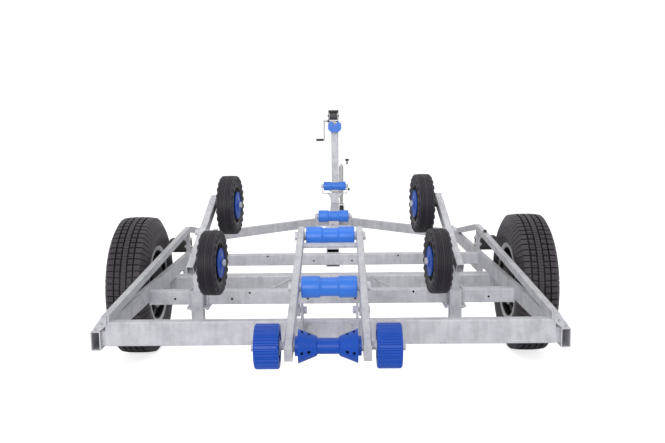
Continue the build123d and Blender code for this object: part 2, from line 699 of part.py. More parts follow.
def roller_cradle(station, height, floor, pedestal_width):
    """A U of strip on a pedestal that carries a keel roller above the drawbar."""
    seat = ROLLER_LENGTH / 2 + ROLLER_SEAT
    inner = ROLLER_LENGTH / 2 + ROLLER_GAP
    outer = inner + 5
    cradle = block(-outer, outer, station - 20, station + 20, floor, floor + 5)
    for sign in (-1, 1):
        ear = block(inner, outer, station - 20, station + 20, floor, height)
        ear += x_rod(inner, outer, station, height, 20)
        ear += x_rod(seat, inner, station, height, WASHER_RADIUS)
        cradle += mirrored(ear, sign)
        cradle += hexagon(sign * outer, sign * (outer + 10), station, height, 26)
    cradle += x_rod(-outer - 3, outer + 3, station, height, PIN_RADIUS)
    if pedestal_width:
        waist = (DRAWBAR_TOP + floor) / 2
        cradle += plate_xz(
            [
                (-DRAWBAR_WIDTH / 2, DRAWBAR_TOP), (DRAWBAR_WIDTH / 2, DRAWBAR_TOP),
                (DRAWBAR_WIDTH / 2, waist), (pedestal_width / 2, floor), (-pedestal_width / 2, floor),
                (-DRAWBAR_WIDTH / 2, waist),
            ],
            station - 25, station + 25,
        )
    else:
        cradle += block(-50, 50, station - 30, station + 30, DRAWBAR_TOP, floor)
    return cradle


# ---------------------------------------------------------------- side wheels
def side_toe(sign, post_x):
    """Where a side-wheel pivot sits, turned by its toe-in; inboard is +X before mirroring."""
    middle = MIDDLE_STATION - CROSS_SIZE / 2 - SLEEVE_SIZE / 2
    return Pos(sign * post_x, middle, SIDE_PIVOT_HEIGHT) * Rot(0, 0, sign * SIDE_TOE)


def side_place(sign, post_x):
    """Where a side-wheel bar sits: its pivot, its toe-in and its slope."""
    return side_toe(sign, post_x) * Rot(SIDE_ANGLE, 0, 0)


EAR_IN = INNER_SIZE / 2                      # post's middle to the ear's inboard face
BAR_IN = EAR_IN + BAR_WASHER + BAR_WIDTH     # post's middle to the bar's inboard face
WHEEL_IN = BAR_IN + BAR_SPACER + 2 + SIDE_WIDTH / 2   # post's middle to the side wheels' middle


def side_bar(sign, post_x):
    """The swivelling tube with its two stub axles; inboard is +X here, before mirroring."""
    outboard = BAR_IN - BAR_WIDTH
    x = BAR_IN - BAR_WIDTH / 2
    half = SIDE_SPACING / 2
    wheel_end = WHEEL_IN + SIDE_WIDTH / 2
    end = half + BAR_OVERHANG
    bar = Pos(x, 0, 0) * tube_along_y(BAR_WIDTH, BAR_HEIGHT, TUBE_WALL, -end, end)
    bar += x_rod(outboard, BAR_IN, 0, 0, 14)
    for y in (-half, half):
        bar += x_rod(outboard - 2, wheel_end + 8, y, 0, SIDE_STUB_RADIUS)
        bar += x_rod(BAR_IN, BAR_IN + BAR_SPACER, y, 0, 16)
        bar += hexagon(wheel_end + 1, wheel_end + 9, y, 0, 24)
    bar -= x_rod(outboard - 1, BAR_IN + 1, 0, 0, SIDE_PIN_RADIUS + RUNNING)
    return side_place(sign, post_x) * mirrored(bar, -sign)


def side_tyre():
    """A side wheel's tyre, about X."""
    half = SIDE_WIDTH / 2
    r = SIDE_RADIUS
    return turned(
        [
            (-30, 88), (-half + 3, 92), (-half, 106), (-half + 4, r - 8), (-half + 14, r - 1),
            (0, r),
            (half - 14, r - 1), (half - 4, r - 8), (half, 106), (half - 3, 92), (30, 88),
        ]
    )


def side_hub():
    """A side wheel's forked-spoke rim with its bearing ring, about X, inboard at +X."""
    ring = turned([(-30, 80), (-32, 87.8), (32, 87.8), (30, 80)])
    hub = turned([(-41, 0), (-41, 26), (41, 26), (41, 0)])
    body = ring + hub
    spoke = Pos(0, 0, 40) * Box(44, 7, 34)
    for sign in (-1, 1):
        spoke += Pos(0, sign * 7, 68) * Rot(-sign * 24, 0, 0) * Box(44, 5, 32)
    for k in range(SIDE_SPOKES):
        body += Rot(k * 360 / SIDE_SPOKES, 0, 0) * spoke
    body += turned([(34, 24), (41, 24), (37, 56), (37, 60), (32, 60), (32, 30)])
    return body - x_rod(-50, 50, 0, 0, SIDE_STUB_RADIUS + RUNNING)


def side_post(sign, post_x):
    """The sleeve on the middle crossbeam, held by its saddle plate and two U-bolts."""
    rear = MIDDLE_STATION - CROSS_SIZE / 2
    front = MIDDLE_STATION + CROSS_SIZE / 2
    under = CROSS_TOP - CROSS_HEIGHT
    y = rear - SLEEVE_SIZE / 2
    post = Pos(0, y, 0) * tube_along_z(SLEEVE_SIZE, SLEEVE_WALL, SLEEVE_BOTTOM, CROSS_TOP)
    # a collar closes the sleeve's top round the inner tube
    collar = SLEEVE_SIZE + 4
    post += Pos(0, y, 0) * tube_along_z(collar, (collar - INNER_SIZE) / 2 - 0.4, CROSS_TOP, CROSS_TOP + 6)
    hole = SLEEVE_SIZE / 2 - 2
    bottom = under - SADDLE_THICKNESS
    saddle = block(-SADDLE_HALF, SADDLE_HALF, rear - SLEEVE_SIZE - 3, front + 20, bottom, under)
    saddle -= block(-hole, hole, y - hole, y + hole, bottom - 1, under + 1)
    post += saddle
    reach = U_BOLT_RADIUS + U_BOLT_GAP
    low = bottom - 14
    for x in (-U_BOLT_SPREAD, U_BOLT_SPREAD):
        bend = FilletPolyline(
            (x, rear - reach, low), (x, rear - reach, CROSS_TOP + reach),
            (x, front + reach, CROSS_TOP + reach), (x, front + reach, low),
            radius=U_BOLT_RADIUS + 6,
        )
        post += sweep(Plane(origin=bend @ 0, z_dir=bend % 0) * Circle(U_BOLT_RADIUS), path=bend)
        for leg in (rear - reach, front + reach):
            nut = Plane.XY.offset(bottom - 7) * RegularPolygon(8, 6, major_radius=False)
            post += Pos(x, leg, 0) * extrude(nut, 8)
    return Pos(sign * post_x, 0, 0) * post


def side_upright(sign, post_x):
    """The inner tube of a side-wheel post, with the ear and bolt that carry the bar."""
    y = MIDDLE_STATION - CROSS_SIZE / 2 - SLEEVE_SIZE / 2
    tube = tube_along_z(INNER_SIZE, TUBE_WALL, SLEEVE_BOTTOM + 30, SIDE_PIVOT_HEIGHT - EAR_DROP)
    upright = Pos(sign * post_x, y, 0) * tube
    foot = INNER_SIZE / 2 - 1
    ear_out = EAR_IN - EAR_THICKNESS
    ear = plate_yz(
        [(-foot, -EAR_DROP - 30), (foot, -EAR_DROP - 30), (EAR_RADIUS, 0), (-EAR_RADIUS, 0)], ear_out, EAR_IN
    )
    ear += x_rod(ear_out, EAR_IN, 0, 0, EAR_RADIUS)
    ear += x_rod(ear_out - 10, BAR_IN + 10, 0, 0, SIDE_PIN_RADIUS)
    ear += hexagon(ear_out - 10, ear_out, 0, 0, 24)
    ear += x_rod(EAR_IN, BAR_IN - BAR_WIDTH - ROLLER_SEAT, 0, 0, WASHER_RADIUS)
    ear += hexagon(BAR_IN + ROLLER_SEAT, BAR_IN + 10, 0, 0, 24)
    return upright + side_toe(sign, post_x) * mirrored(ear, -sign)


# ---------------------------------------------------------------- winch post
def winch_post():
    """The square post with its foot plates."""
    post = Pos(0, WINCH_STATION, 0) * tube_along_z(WINCH_POST_SIZE, 4, DRAWBAR_TOP + 8, WINCH_POST_TOP, 6)
    foot = block(-60, 60, WINCH_STATION - 75, WINCH_STATION + 75, DRAWBAR_TOP, DRAWBAR_TOP + 8)
    return post + foot


def bow_stop():
    """The V-shaped moulded stop for the stem, with rounded lobes, on the post's rear face."""
    y = WINCH_STATION - WINCH_POST_SIZE / 2
    foot = WINCH_POST_TOP - 84
    outline = make_face(
        Polyline(
            (-38, foot), (38, foot), (66, foot + 30), (66, foot + 82), (34, foot + 112), (0, foot + 68),
            (-34, foot + 112), (-66, foot + 82), (-66, foot + 30), close=True,
        )
    )
    rounded = fillet(outline.vertices(), 11)
    plane = Plane(origin=(0, y, 0), x_dir=(1, 0, 0), z_dir=(0, -1, 0))
    return extrude(plane * rounded, STOP_DEPTH)


def winch_frame():
    """The winch's two cheeks, base, keeper and curved cover on top of the post."""
    y, z = WINCH_STATION, WINCH_POST_TOP
    left, right = WINCH_LEFT, WINCH_RIGHT
    thick = 5
    top = DRUM_HEIGHT + WINCH_CHEEK
    frame = block(left, right, y - 34, y + 75, z, z + 6)
    cheek = [
        (y - 34, z), (y + 75, z), (y + 62, DRUM_HEIGHT), (y + 40, top), (y - 20, top), (y - 34, top - 24),
    ]
    for x0 in (left, right - thick):
        frame += plate_yz(cheek, x0, x0 + thick)
    # the cover hangs over the back and the top of the drum
    frame += block(left, right, y - 20, y + 40, top - 3, top)
    frame += plate_yz(
        [(y - 20, top), (y - 34, top - 22), (y - 30, top - 24), (y - 16, top - 3)], left, right
    )
    # keeper bar below the strap, at the rear edge of the cheeks
    frame += x_rod(left, right, y - 26, z + 22, 7)
    frame += x_rod(left - 8, right + 6, y + DRUM_AHEAD, DRUM_HEIGHT, WINCH_SHAFT_RADIUS)
    # the crank's bearing boss
    frame += x_rod(left - 10, left + 2, y + CRANK_AHEAD, CRANK_HEIGHT, 13)
    return frame


def winch_drum():
    """The strap wound on its drum."""
    left, right, flange = DRUM_LEFT, DRUM_RIGHT, DRUM_RADIUS
    strap = flange - 5
    drum = turned(
        [
            (left, 0), (left, flange), (left + 4, flange), (left + 4, strap),
            (right - 4, strap), (right - 4, flange), (right, flange), (right, 0),
        ]
    )
    drum -= x_rod(left - 1, right + 1, 0, 0, WINCH_SHAFT_RADIUS + RUNNING)
    return Pos(0, WINCH_STATION + DRUM_AHEAD, DRUM_HEIGHT) * drum


def winch_crank():
    """The crank with its grip, hanging on the left."""
    y, z = WINCH_STATION + CRANK_AHEAD, CRANK_HEIGHT
    seat = WINCH_LEFT - 10 - ROLLER_SEAT
    crank = x_rod(seat, -110, y, z, 9)
    crank += x_rod(-112, -104, y, z, 11)
    crank += rod((-108, y, z), (-108, y, z - CRANK_REACH), 5)
    crank += x_rod(-112, -104, y, z - CRANK_REACH, 9)
    crank += x_rod(-190, -112, y, z - CRANK_REACH, 9)
    return crank


# ---------------------------------------------------------------- jockey wheel
def jockey_clamp():
    """The clamp and outer tube of the jockey wheel, with its crank."""
    x, y = JOCKEY_OFFSET, JOCKEY_STATION
    tube = rod((x, y, JOCKEY_TUBE_BOTTOM), (x, y, JOCKEY_TUBE_TOP), JOCKEY_TUBE_RADIUS)
    tube -= rod((x, y, JOCKEY_TUBE_BOTTOM - 1), (x, y, JOCKEY_TUBE_TOP - 30), JOCKEY_LEG_RADIUS + RUNNING * 6)
    high = DRAWBAR_TOP - CLAMP_DROP
    low = high - CLAMP_HEIGHT
    screw = high - CLAMP_HEIGHT / 2
    clamp = block(DRAWBAR_WIDTH / 2, x + 14, y - 28, y + 28, low, high)
    clamp -= rod((x, y, low - 5), (x, y, high + 5), JOCKEY_TUBE_RADIUS - 1)
    clamp += rod((x + 20, y, screw), (x + 92, y, screw), 6)
    # the crank on its conical cap, with a mushroom knob
    top = JOCKEY_TUBE_TOP
    profile = [(0, 0), (JOCKEY_TUBE_RADIUS, 0), (JOCKEY_TUBE_RADIUS, 4), (10, 16), (8, 30), (0, 30)]
    cap = revolve(Plane.XZ * make_face(Polyline(*profile, close=True)), Axis.Z)
    crank = Pos(x, y, top - 1) * cap
    crank += block(x - 9, x + 76, y - 7, y + 7, top + 24, top + 30)
    stem = [(0, 0), (9, 0), (6, 16), (6, 32), (24, 40), (22, 50), (12, 56), (0, 56)]
    knob = revolve(Plane.XZ * make_face(Polyline(*stem, close=True)), Axis.Z)
    crank += Pos(x + 66, y, top + 29) * knob
    return tube + clamp + crank


def jockey_leg():
    """The sliding inner tube."""
    x, y = JOCKEY_OFFSET, JOCKEY_STATION
    return rod((x, y, JOCKEY_LEG_BOTTOM), (x, y, JOCKEY_LEG_TOP), JOCKEY_LEG_RADIUS)


def jockey_fork():
    """The swivelling fork."""
    x, y = JOCKEY_OFFSET, JOCKEY_STATION
    half = JOCKEY_WHEEL_WIDTH / 2
    r = JOCKEY_WHEEL_RADIUS
    axle_y = y - JOCKEY_TRAIL
    crown = block(x - half - 8, x + half + 8, axle_y - 22, y + 24, 2 * r + 8, 2 * r + 14)
    crown += rod((x, y, 2 * r + 14), (x, y, JOCKEY_LEG_BOTTOM - 0.3), 20)
    for sign in (-1, 1):
        crown += block(
            x + sign * (half + 6) - 2, x + sign * (half + 6) + 2, axle_y - 18, axle_y + 18, r - 16, 2 * r + 10
        )
    crown += x_rod(x - half - 14, x + half + 14, axle_y, r, JOCKEY_AXLE_RADIUS)
    return crown


def jockey_wheel():
    """The small solid wheel."""
    half = JOCKEY_WHEEL_WIDTH / 2
    r = JOCKEY_WHEEL_RADIUS
    hub, web, band = 24, 8, r - 28
    wheel = turned(
        [
            (-half, 0), (-half, hub), (-web, hub + 4), (-web, band - 4), (-half + 3, band), (-half, r - 10),
            (-half + 8, r), (half - 8, r),
            (half, r - 10), (half - 3, band), (web, band - 4), (web, hub + 4), (half, hub), (half, 0),
        ]
    )
    wheel -= x_rod(-half - 1, half + 1, 0, 0, JOCKEY_AXLE_RADIUS + RUNNING)
    return Pos(JOCKEY_OFFSET, JOCKEY_STATION - JOCKEY_TRAIL, r) * wheel


# ---------------------------------------------------------------- coupling
def coupling_head():
    """The pressed ball coupling with its shaft, domed cup and latch handle."""
    y0, y1 = DRAWBAR_FRONT, NOSE
    z = DRAWBAR_TOP - 30
    ball_y = y1 - 42
    body = Plane(origin=(0, y0, z), x_dir=(1, 0, 0), z_dir=(0, 1, 0)) * RectangleRounded(66, 60, 12)
    neck = Plane(origin=(0, ball_y - 30, z), x_dir=(1, 0, 0), z_dir=(0, 1, 0)) * RectangleRounded(56, 54, 14)
    body = loft([body, neck])
    cup = revolve(
        Plane.XZ * make_face(
            Polyline((0, -30), (44, -30), (44, -24), (40, -20), (38, 12), (26, 26), (0, 32), close=True)
        ),
        Axis.Z,
    )
    body += Pos(0, ball_y, z) * cup
    body -= Pos(0, ball_y, z - 12) * Sphere(BALL_RADIUS + 0.5)
    body -= rod((0, ball_y, z - 34), (0, ball_y, z - 12), BALL_RADIUS + 0.5)
    grip = plate_yz(
        [(y1 - 200, z + 52), (y1 - 190, z + 60), (y1 - 96, z + 50), (y1 - 50, z + 36), (y1 - 50, z + 28),
         (y1 - 100, z + 28), (y1 - 108, z + 40)],
        -16, 16,
    )
    return body + grip


# ---------------------------------------------------------------- the whole trailer
node("rear_crossbeam", rear_crossbeam())
# holes in the rear faces of the inner crossbeams: x, and distance below the beam's top
middle_holes = [(-675, 34), (-429, 36), (-352, 10), (-102, 37), (102, 37), (352, 10), (675, 34)]
front_holes = [(-352, 10), (-103, 36), (103, 36), (352, 10)]
node("middle_crossbeam", inner_crossbeam(MIDDLE_STATION, CROSS_TOP, middle_holes))
node("front_crossbeam", inner_crossbeam(FRONT_STATION, FRONT_TOP, front_holes))
node("drawbar_tube", drawbar_tube())
node("axle_beam", axle_beam())
for side, sign, post_x in SIDES:
    node(f"side_beam_{side}", mirrored(side_beam(), sign))
    node(f"drawbar_brace_{side}", mirrored(drawbar_brace(), sign))
    node(f"guard_rail_{side}", mirrored(guard_rail(), sign))
    node(f"lamp_socket_{side}", mirrored(lamp_socket(), sign))
    node(f"step_{side}", mirrored(step(), sign))
    node(f"trailing_arm_{side}", mirrored(trailing_arm(), sign))
    wheel_at = Pos(sign * HALF_TRACK, 0, WHEEL_RADIUS)
    node(f"tyre_{side}", wheel_at * tyre())
    node(f"rim_{side}", wheel_at * mirrored(rim(), sign))
    node(f"side_post_{side}", side_post(sign, post_x))
    node(f"side_upright_{side}", side_upright(sign, post_x))
    node(f"side_bar_{side}", side_bar(sign, post_x))
    for end, along in (("rear", -SIDE_SPACING / 2), ("front", SIDE_SPACING / 2)):
        at = side_place(sign, post_x) * Pos(-sign * WHEEL_IN, along, 0)
        node(f"side_tyre_{side}_{end}", at * side_tyre())
        node(f"side_hub_{side}_{end}", at * mirrored(side_hub(), -sign))
node("rocker_frame", rocker_frame())
node("rocker_bracket", *rocker_bracket())
node("stern_roller", Pos(0, *on_rocker(0)) * stern_roller())
node("keel_roller_1", Pos(0, *on_rocker(LOWER_ROLLER_AT)) * keel_roller())
node("keel_roller_2", Pos(0, *on_rocker(TOP_ROLLER_AT)) * keel_roller())
for side, sign, post_x in SIDES:
    guide_x = sign * (ROCKER_OUTER_X + GUIDE_GAP + GUIDE_WIDTH / 2)
    node(f"guide_wheel_{side}", Pos(guide_x, *on_rocker(0)) * guide_wheel())
node("keel_roller_3", Pos(0, KEEL3_STATION, KEEL3_HEIGHT) * keel_roller())
node("keel_roller_4", Pos(0, KEEL4_STATION, KEEL4_HEIGHT) * keel_roller())
node("roller_cradle_3", roller_cradle(KEEL3_STATION, KEEL3_HEIGHT, KEEL3_HEIGHT - KEEL3_DROP, 0))
node("roller_cradle_4", roller_cradle(KEEL4_STATION, KEEL4_HEIGHT, KEEL4_HEIGHT - KEEL4_DROP, PEDESTAL_TOP))
node("winch_post", winch_post())
node("bow_stop", bow_stop())
node("winch_frame", winch_frame())
node("winch_drum", winch_drum())
node("winch_crank", winch_crank())
node("jockey_clamp", jockey_clamp())
node("jockey_leg", jockey_leg())
node("jockey_fork", jockey_fork())
node("jockey_wheel", jockey_wheel())
node("coupling_head", coupling_head())

os.makedirs("parts", exist_ok=True)
for name, solid in NODES.items():
    export_step(Pos(0, -MIDDLE, 0) * solid, f"parts/{name}.step")
print(len(NODES), "nodes, overall length", NOSE - TAIL)
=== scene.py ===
"""Looks of a keel-roller boat trailer, laid out as an add-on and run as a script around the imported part."""

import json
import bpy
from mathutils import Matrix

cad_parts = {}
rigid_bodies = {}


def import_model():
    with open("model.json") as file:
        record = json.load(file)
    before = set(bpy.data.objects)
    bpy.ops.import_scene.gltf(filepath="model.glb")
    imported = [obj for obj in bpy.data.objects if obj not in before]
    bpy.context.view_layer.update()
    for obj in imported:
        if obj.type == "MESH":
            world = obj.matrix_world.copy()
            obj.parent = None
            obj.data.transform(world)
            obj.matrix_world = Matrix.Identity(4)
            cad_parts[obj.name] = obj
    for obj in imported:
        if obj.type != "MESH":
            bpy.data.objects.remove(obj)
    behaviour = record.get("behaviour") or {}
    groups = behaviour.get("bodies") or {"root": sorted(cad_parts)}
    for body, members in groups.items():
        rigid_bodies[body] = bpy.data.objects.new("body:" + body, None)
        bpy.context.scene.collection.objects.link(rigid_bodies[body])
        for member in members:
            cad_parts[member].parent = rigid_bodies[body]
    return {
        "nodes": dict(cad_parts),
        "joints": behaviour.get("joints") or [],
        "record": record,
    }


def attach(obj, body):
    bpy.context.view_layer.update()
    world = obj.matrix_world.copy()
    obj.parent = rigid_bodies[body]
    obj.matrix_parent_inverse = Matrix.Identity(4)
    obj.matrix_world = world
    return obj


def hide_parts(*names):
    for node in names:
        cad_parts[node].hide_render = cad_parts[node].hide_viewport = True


bl_info = {
    "name": "Keel-roller boat trailer",
    "version": (1, 0, 0),
    "blender": (4, 5, 0),
    "location": "3D View > Sidebar > Trailer",
    "description": "Dresses the trailer's fixed frame with tyres, rollers, hardware and finishes",
    "category": "Object",
}

from contextlib import contextmanager
from functools import cache
from math import cos, pi, radians, sin, sqrt, tau

import bmesh
import bpy
from mathutils import Matrix, Vector

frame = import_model()
RECORD = frame["record"]
JOINTS = {joint["child"]: joint for joint in frame["joints"]}
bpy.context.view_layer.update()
SIDES = (("left", -1), ("right", 1))
MM = 0.001
MIDDLE = 1881              # station of the origin, in millimetres ahead of the wheels' axis


# ---- sizes and colours a user would change
def length(label, about, size):
    """A length property in metres."""
    return bpy.props.FloatProperty(
        name=label, description=about, default=size, min=0, precision=4, unit="LENGTH"
    )


def number(label, about, size):
    """A plain number."""
    return bpy.props.FloatProperty(name=label, description=about, default=size, min=0)


def count(label, about, size, least):
    """A whole number."""
    return bpy.props.IntProperty(name=label, description=about, default=size, min=least)


def tint(label, about, colour):
    """A linear colour property."""
    return bpy.props.FloatVectorProperty(
        name=label, description=about, default=colour, size=3, min=0, max=1, subtype="COLOR"
    )


class TrailerFinish(bpy.types.PropertyGroup):
    """Colours of the trailer's finishes."""

    zinc_light: tint("Zinc, light", "Bright patches of the hot-dip zinc", (0.70, 0.70, 0.745))
    zinc_dark: tint("Zinc, dark", "Dull patches of the hot-dip zinc", (0.46, 0.46, 0.505))
    plated: tint("Plated steel", "Bolts and pressed fittings", (0.60, 0.60, 0.61))
    rubber: tint("Road rubber", "Road tyres", (0.058, 0.050, 0.060))
    side_rubber: tint("Side-wheel rubber", "Side wheels' tyres", (0.038, 0.034, 0.046))
    roller: tint("Roller blue", "Plain keel rollers", (0.045, 0.215, 0.80))
    deep_blue: tint("Deep blue", "Stern roller and guide wheels", (0.012, 0.085, 0.50))
    # also the colour of the painted shade in the road rims' wells and, dimmed, of the painted shade discs in
    # holes
    black: tint("Black plastic", "Grips, knobs and spoked rims", (0.012, 0.012, 0.013))
    silver: tint("Wheel silver", "Road wheels' paint", (0.50, 0.50, 0.51))
    webbing: tint("Webbing", "Winch strap", (0.12, 0.115, 0.12))
    pale: tint("Pale plastic", "Winch's keeper roller", (0.62, 0.66, 0.60))


class TrailerTyre(bpy.types.PropertyGroup):
    """Sizes of the road tyres' tread."""

    pitches: count("Pitches", "Tread pitches round a tyre", 72, 24)
    groove_depth: length("Groove depth", "Depth of the main grooves", 0.007)
    sipe_depth: length("Sipe depth", "Depth of the fine cross cuts", 0.003)


class TrailerSideWheel(bpy.types.PropertyGroup):
    """Sizes of the side wheels."""

    lugs: count("Lugs", "Shoulder lugs round a side wheel", 22, 8)
    spokes: count("Spokes", "Spokes of the rim", 10, 3)
    lug_reach: length("Lug reach", "How far a lug stands out of the shoulder", 0.0045)
    ring_radius: length("Blue ring", "Radius of the blue bearing ring", 0.060)


class TrailerRoller(bpy.types.PropertyGroup):
    """Sizes of the rollers."""

    edge: length("Roller edge", "Radius of a roller's rounded edges", 0.004)


class TrailerHardware(bpy.types.PropertyGroup):
    """Sizes of weld beads."""

    weld: length("Weld", "Half the width of a weld bead", 0.0032)
    ripple: length("Ripple", "Spacing of a weld bead's ripples", 0.0035)


class TrailerStudio(bpy.types.PropertyGroup):
    """The studio's floor and light."""

    floor: tint("Floor", "Plain pale floor", (0.86, 0.86, 0.87))
    key: number("Key", "Power of the key light, in watts", 1440)
    fill: number("Fill", "Strength of the surrounding light", 0.44)


GROUPS = {
    "trailer_finish": TrailerFinish,
    "trailer_tyre": TrailerTyre,
    "trailer_side_wheel": TrailerSideWheel,
    "trailer_roller": TrailerRoller,
    "trailer_hardware": TrailerHardware,
    "trailer_studio": TrailerStudio,
}


def chosen(name):
    """The user's values in one property group."""
    return getattr(bpy.context.scene, name)


# ---- node trees
def socket(tree, name, kind, value=None, output=False):
    """A named input or output of a node group."""
    made = tree.interface.new_socket(name, in_out="OUTPUT" if output else "INPUT", socket_type=kind)
    if value is not None:
        made.default_value = value


def feed(tree, node, **inputs):
    """Sets a node's inputs: values or other nodes' outputs, by name or, as i2, by place."""
    for key, value in inputs.items():
        target = node.inputs[int(key[1:]) if key.startswith("i") else key.replace("_", " ")]
        if isinstance(value, bpy.types.NodeSocket):
            tree.links.new(value, target)
        else:
            target.default_value = value
    return node


def add(tree, kind, settings=None, **inputs):
    """A node with its settings and inputs."""
    node = tree.nodes.new(kind)
    for key, value in (settings or {}).items():
        setattr(node, key, value)
    return feed(tree, node, **inputs)


def maths(tree, operation, *values):
    """The output of one Math node; a value is a number or another node's output."""
    inputs = {f"i{k}": value for k, value in enumerate(values)}
    return add(tree, "ShaderNodeMath", {"operation": operation}, **inputs).outputs[0]


def noise(tree, vector, scale, detail, **more):
    """The grey of a noise texture."""
    return add(tree, "ShaderNodeTexNoise", Vector=vector, Scale=scale, Detail=detail, **more).outputs["Fac"]


def place_in(tree):
    """Object coordinates."""
    return tree.nodes.new("ShaderNodeTexCoord").outputs["Object"]


def ramp(tree, source, stops):
    """A colour ramp used as a curve from position to grey."""
    node = add(tree, "ShaderNodeValToRGB", Fac=source)
    elements = node.color_ramp.elements
    for element, (place, level) in zip(elements, (stops[0], stops[-1])):
        element.position = place
        element.color = (level, level, level, 1)
    for place, level in stops[1:-1]:
        elements.new(place).color = (level, level, level, 1)
    return node.outputs["Color"]


def between(tree, factor, low, high):
    """A colour between two by a factor; a colour is three values or another node's output."""
    low, high = (c if isinstance(c, bpy.types.NodeSocket) else (*c, 1) for c in (low, high))
    return add(tree, "ShaderNodeMix", {"data_type": "RGBA"}, Factor=factor, A=low, B=high).outputs["Result"]


def ranged(tree, value, low, high):
    """A value moved into a range."""
    return add(tree, "ShaderNodeMapRange", Value=value, To_Min=low, To_Max=high).outputs[0]


def effect_tree(name, inputs, outputs):
    """An empty shared effect with its named inputs and outputs."""
    tree = bpy.data.node_groups.new(name, "ShaderNodeTree")
    for label, value in inputs:
        socket(tree, label, "NodeSocketFloat", value)
    for label in outputs:
        socket(tree, label, "NodeSocketFloat", output=True)
    return tree, tree.nodes.new("NodeGroupInput").outputs, tree.nodes.new("NodeGroupOutput")


# zinc: the shares of cloud, run marks and spangle in its shade
CLOUD_SHARE, RUN_SHARE, SPANGLE_SHARE = 0.58, 0.24, 0.18
ZINC_ROUGH = (0.38, 0.60)
RUN_STRETCH = (1.0, 1.0, 0.12)
FINE_SCALE = 420.0


@cache
def zinc_group():
    """Hot-dip zinc: soft clouds, faint spangle and run marks."""
    tree, given, end = effect_tree(
        "zinc_bloom", (("Cloud", 16.0), ("Spangle", 150.0), ("Run", 60.0)), ("Shade", "Rough", "Relief")
    )
    place = place_in(tree)
    cloud = noise(tree, place, given["Cloud"], 6.0, Roughness=0.62)
    cells = add(tree, "ShaderNodeTexVoronoi", Vector=place, Scale=given["Spangle"], Randomness=1.0)
    stretched = add(tree, "ShaderNodeMapping", Vector=place, Scale=RUN_STRETCH).outputs[0]
    soft = ramp(tree, cloud, ((0.34, 0.0), (0.5, 0.55), (0.66, 1.0)))
    run = ramp(tree, noise(tree, stretched, given["Run"], 3.0), ((0.38, 0.0), (0.62, 1.0)))
    spangle = add(tree, "ShaderNodeSeparateColor", i0=cells.outputs["Color"]).outputs[0]
    shade = maths(tree, "MULTIPLY_ADD", run, RUN_SHARE, maths(tree, "MULTIPLY", soft, CLOUD_SHARE))
    shade = maths(tree, "MULTIPLY_ADD", spangle, SPANGLE_SHARE, shade)
    relief = maths(tree, "MULTIPLY_ADD", cloud, 2.0, noise(tree, place, FINE_SCALE, 2.0))
    feed(tree, end, Shade=shade, Rough=ranged(tree, cloud, *ZINC_ROUGH), Relief=relief)
    return tree


DUST_SCALE = 95.0


@cache
def grain_group():
    """Moulded rubber or plastic: a slow drift of shade, fine grain and dust."""
    tree, given, end = effect_tree(
        "moulded_grain", (("Drift", 9.0), ("Grain", 700.0)), ("Shade", "Dust", "Relief")
    )
    place = place_in(tree)
    drift = noise(tree, place, given["Drift"], 4.0, Roughness=0.55)
    dust = ramp(tree, noise(tree, place, DUST_SCALE, 5.0, Roughness=0.7), ((0.52, 0.0), (0.74, 1.0)))
    feed(tree, end, Shade=drift, Dust=dust, Relief=noise(tree, place, given["Grain"], 2.0))
    return tree


def blank(name):
    """A new material with its tree and Principled shader."""
    material = bpy.data.materials.new(name)
    material.use_nodes = True
    tree = material.node_tree
    return material, tree, tree.nodes["Principled BSDF"]


def raised(tree, height, distance):
    """Relief from a height, through a Bump node."""
    return add(tree, "ShaderNodeBump", Height=height, Distance=distance, Strength=1.0).outputs["Normal"]


def dimmed(colour, share):
    """A share of a colour."""
    return [c * share for c in colour]


def grouped(tree, maker, **values):
    """One shared effect placed in a material."""
    return add(tree, "ShaderNodeGroup", {"node_tree": maker()}, **values).outputs


def zinc_material(name, light, dark, metal, cloud, relief):
    """Galvanised or plated steel."""
    material, tree, shader = blank(name)
    bloom = grouped(tree, zinc_group, Cloud=cloud)
    shade = between(tree, bloom["Shade"], dark, light)
    feed(tree, shader, Base_Color=shade, Roughness=bloom["Rough"], Metallic=metal)
    feed(tree, shader, Specular_IOR_Level=0.3, Normal=raised(tree, bloom["Relief"], relief))
    return material


DUST = (0.32, 0.31, 0.30)
DUST_ROUGH = (-0.05, 0.12)           # how roughness changes from clean to dusty
CUT_PAINTED_SHADE = 0.08           # how much of its colour a tread keeps in its cuts, as painted shade in the recesses


def moulded_material(name, colour, spread, rough, relief, dust=0.0, coat=0.0, shine=0.5, cuts=False):
    """Rubber, plastic or paint with drift, grain, a little dust and, where asked, painted shade in a tread's
    cuts.
    """
    material, tree, shader = blank(name)
    grain = grouped(tree, grain_group)
    high = [min(1.0, c) for c in dimmed(colour, 1 + spread)]
    shade = between(tree, grain["Shade"], dimmed(colour, 1 - spread), high)
    if dust:
        shade = between(tree, maths(tree, "MULTIPLY", grain["Dust"], dust), shade, DUST)
    # painted shade: faces in a tread's cuts darkened to a share of the colour
    if cuts:
        cut_shade_mask = add(tree, "ShaderNodeAttribute", {"attribute_name": "cut"}).outputs["Fac"]
        shade = between(tree, cut_shade_mask, shade, dimmed(colour, CUT_PAINTED_SHADE))
    matt = ranged(tree, grain["Dust"], *(rough + change for change in DUST_ROUGH))
    feed(tree, shader, Base_Color=shade, Roughness=matt, Coat_Weight=coat)
    feed(tree, shader, Specular_IOR_Level=shine, Normal=raised(tree, grain["Relief"], relief))
    return material


DRUM_AND_SHADE_RADIUS = 0.168           # radius of the rim's well; inside it, on the inboard side, the drum's dark paint and painted shade on the well
RIM_DISC = 0.012           # the wheel disc's inboard face, outboard of the wheel's middle


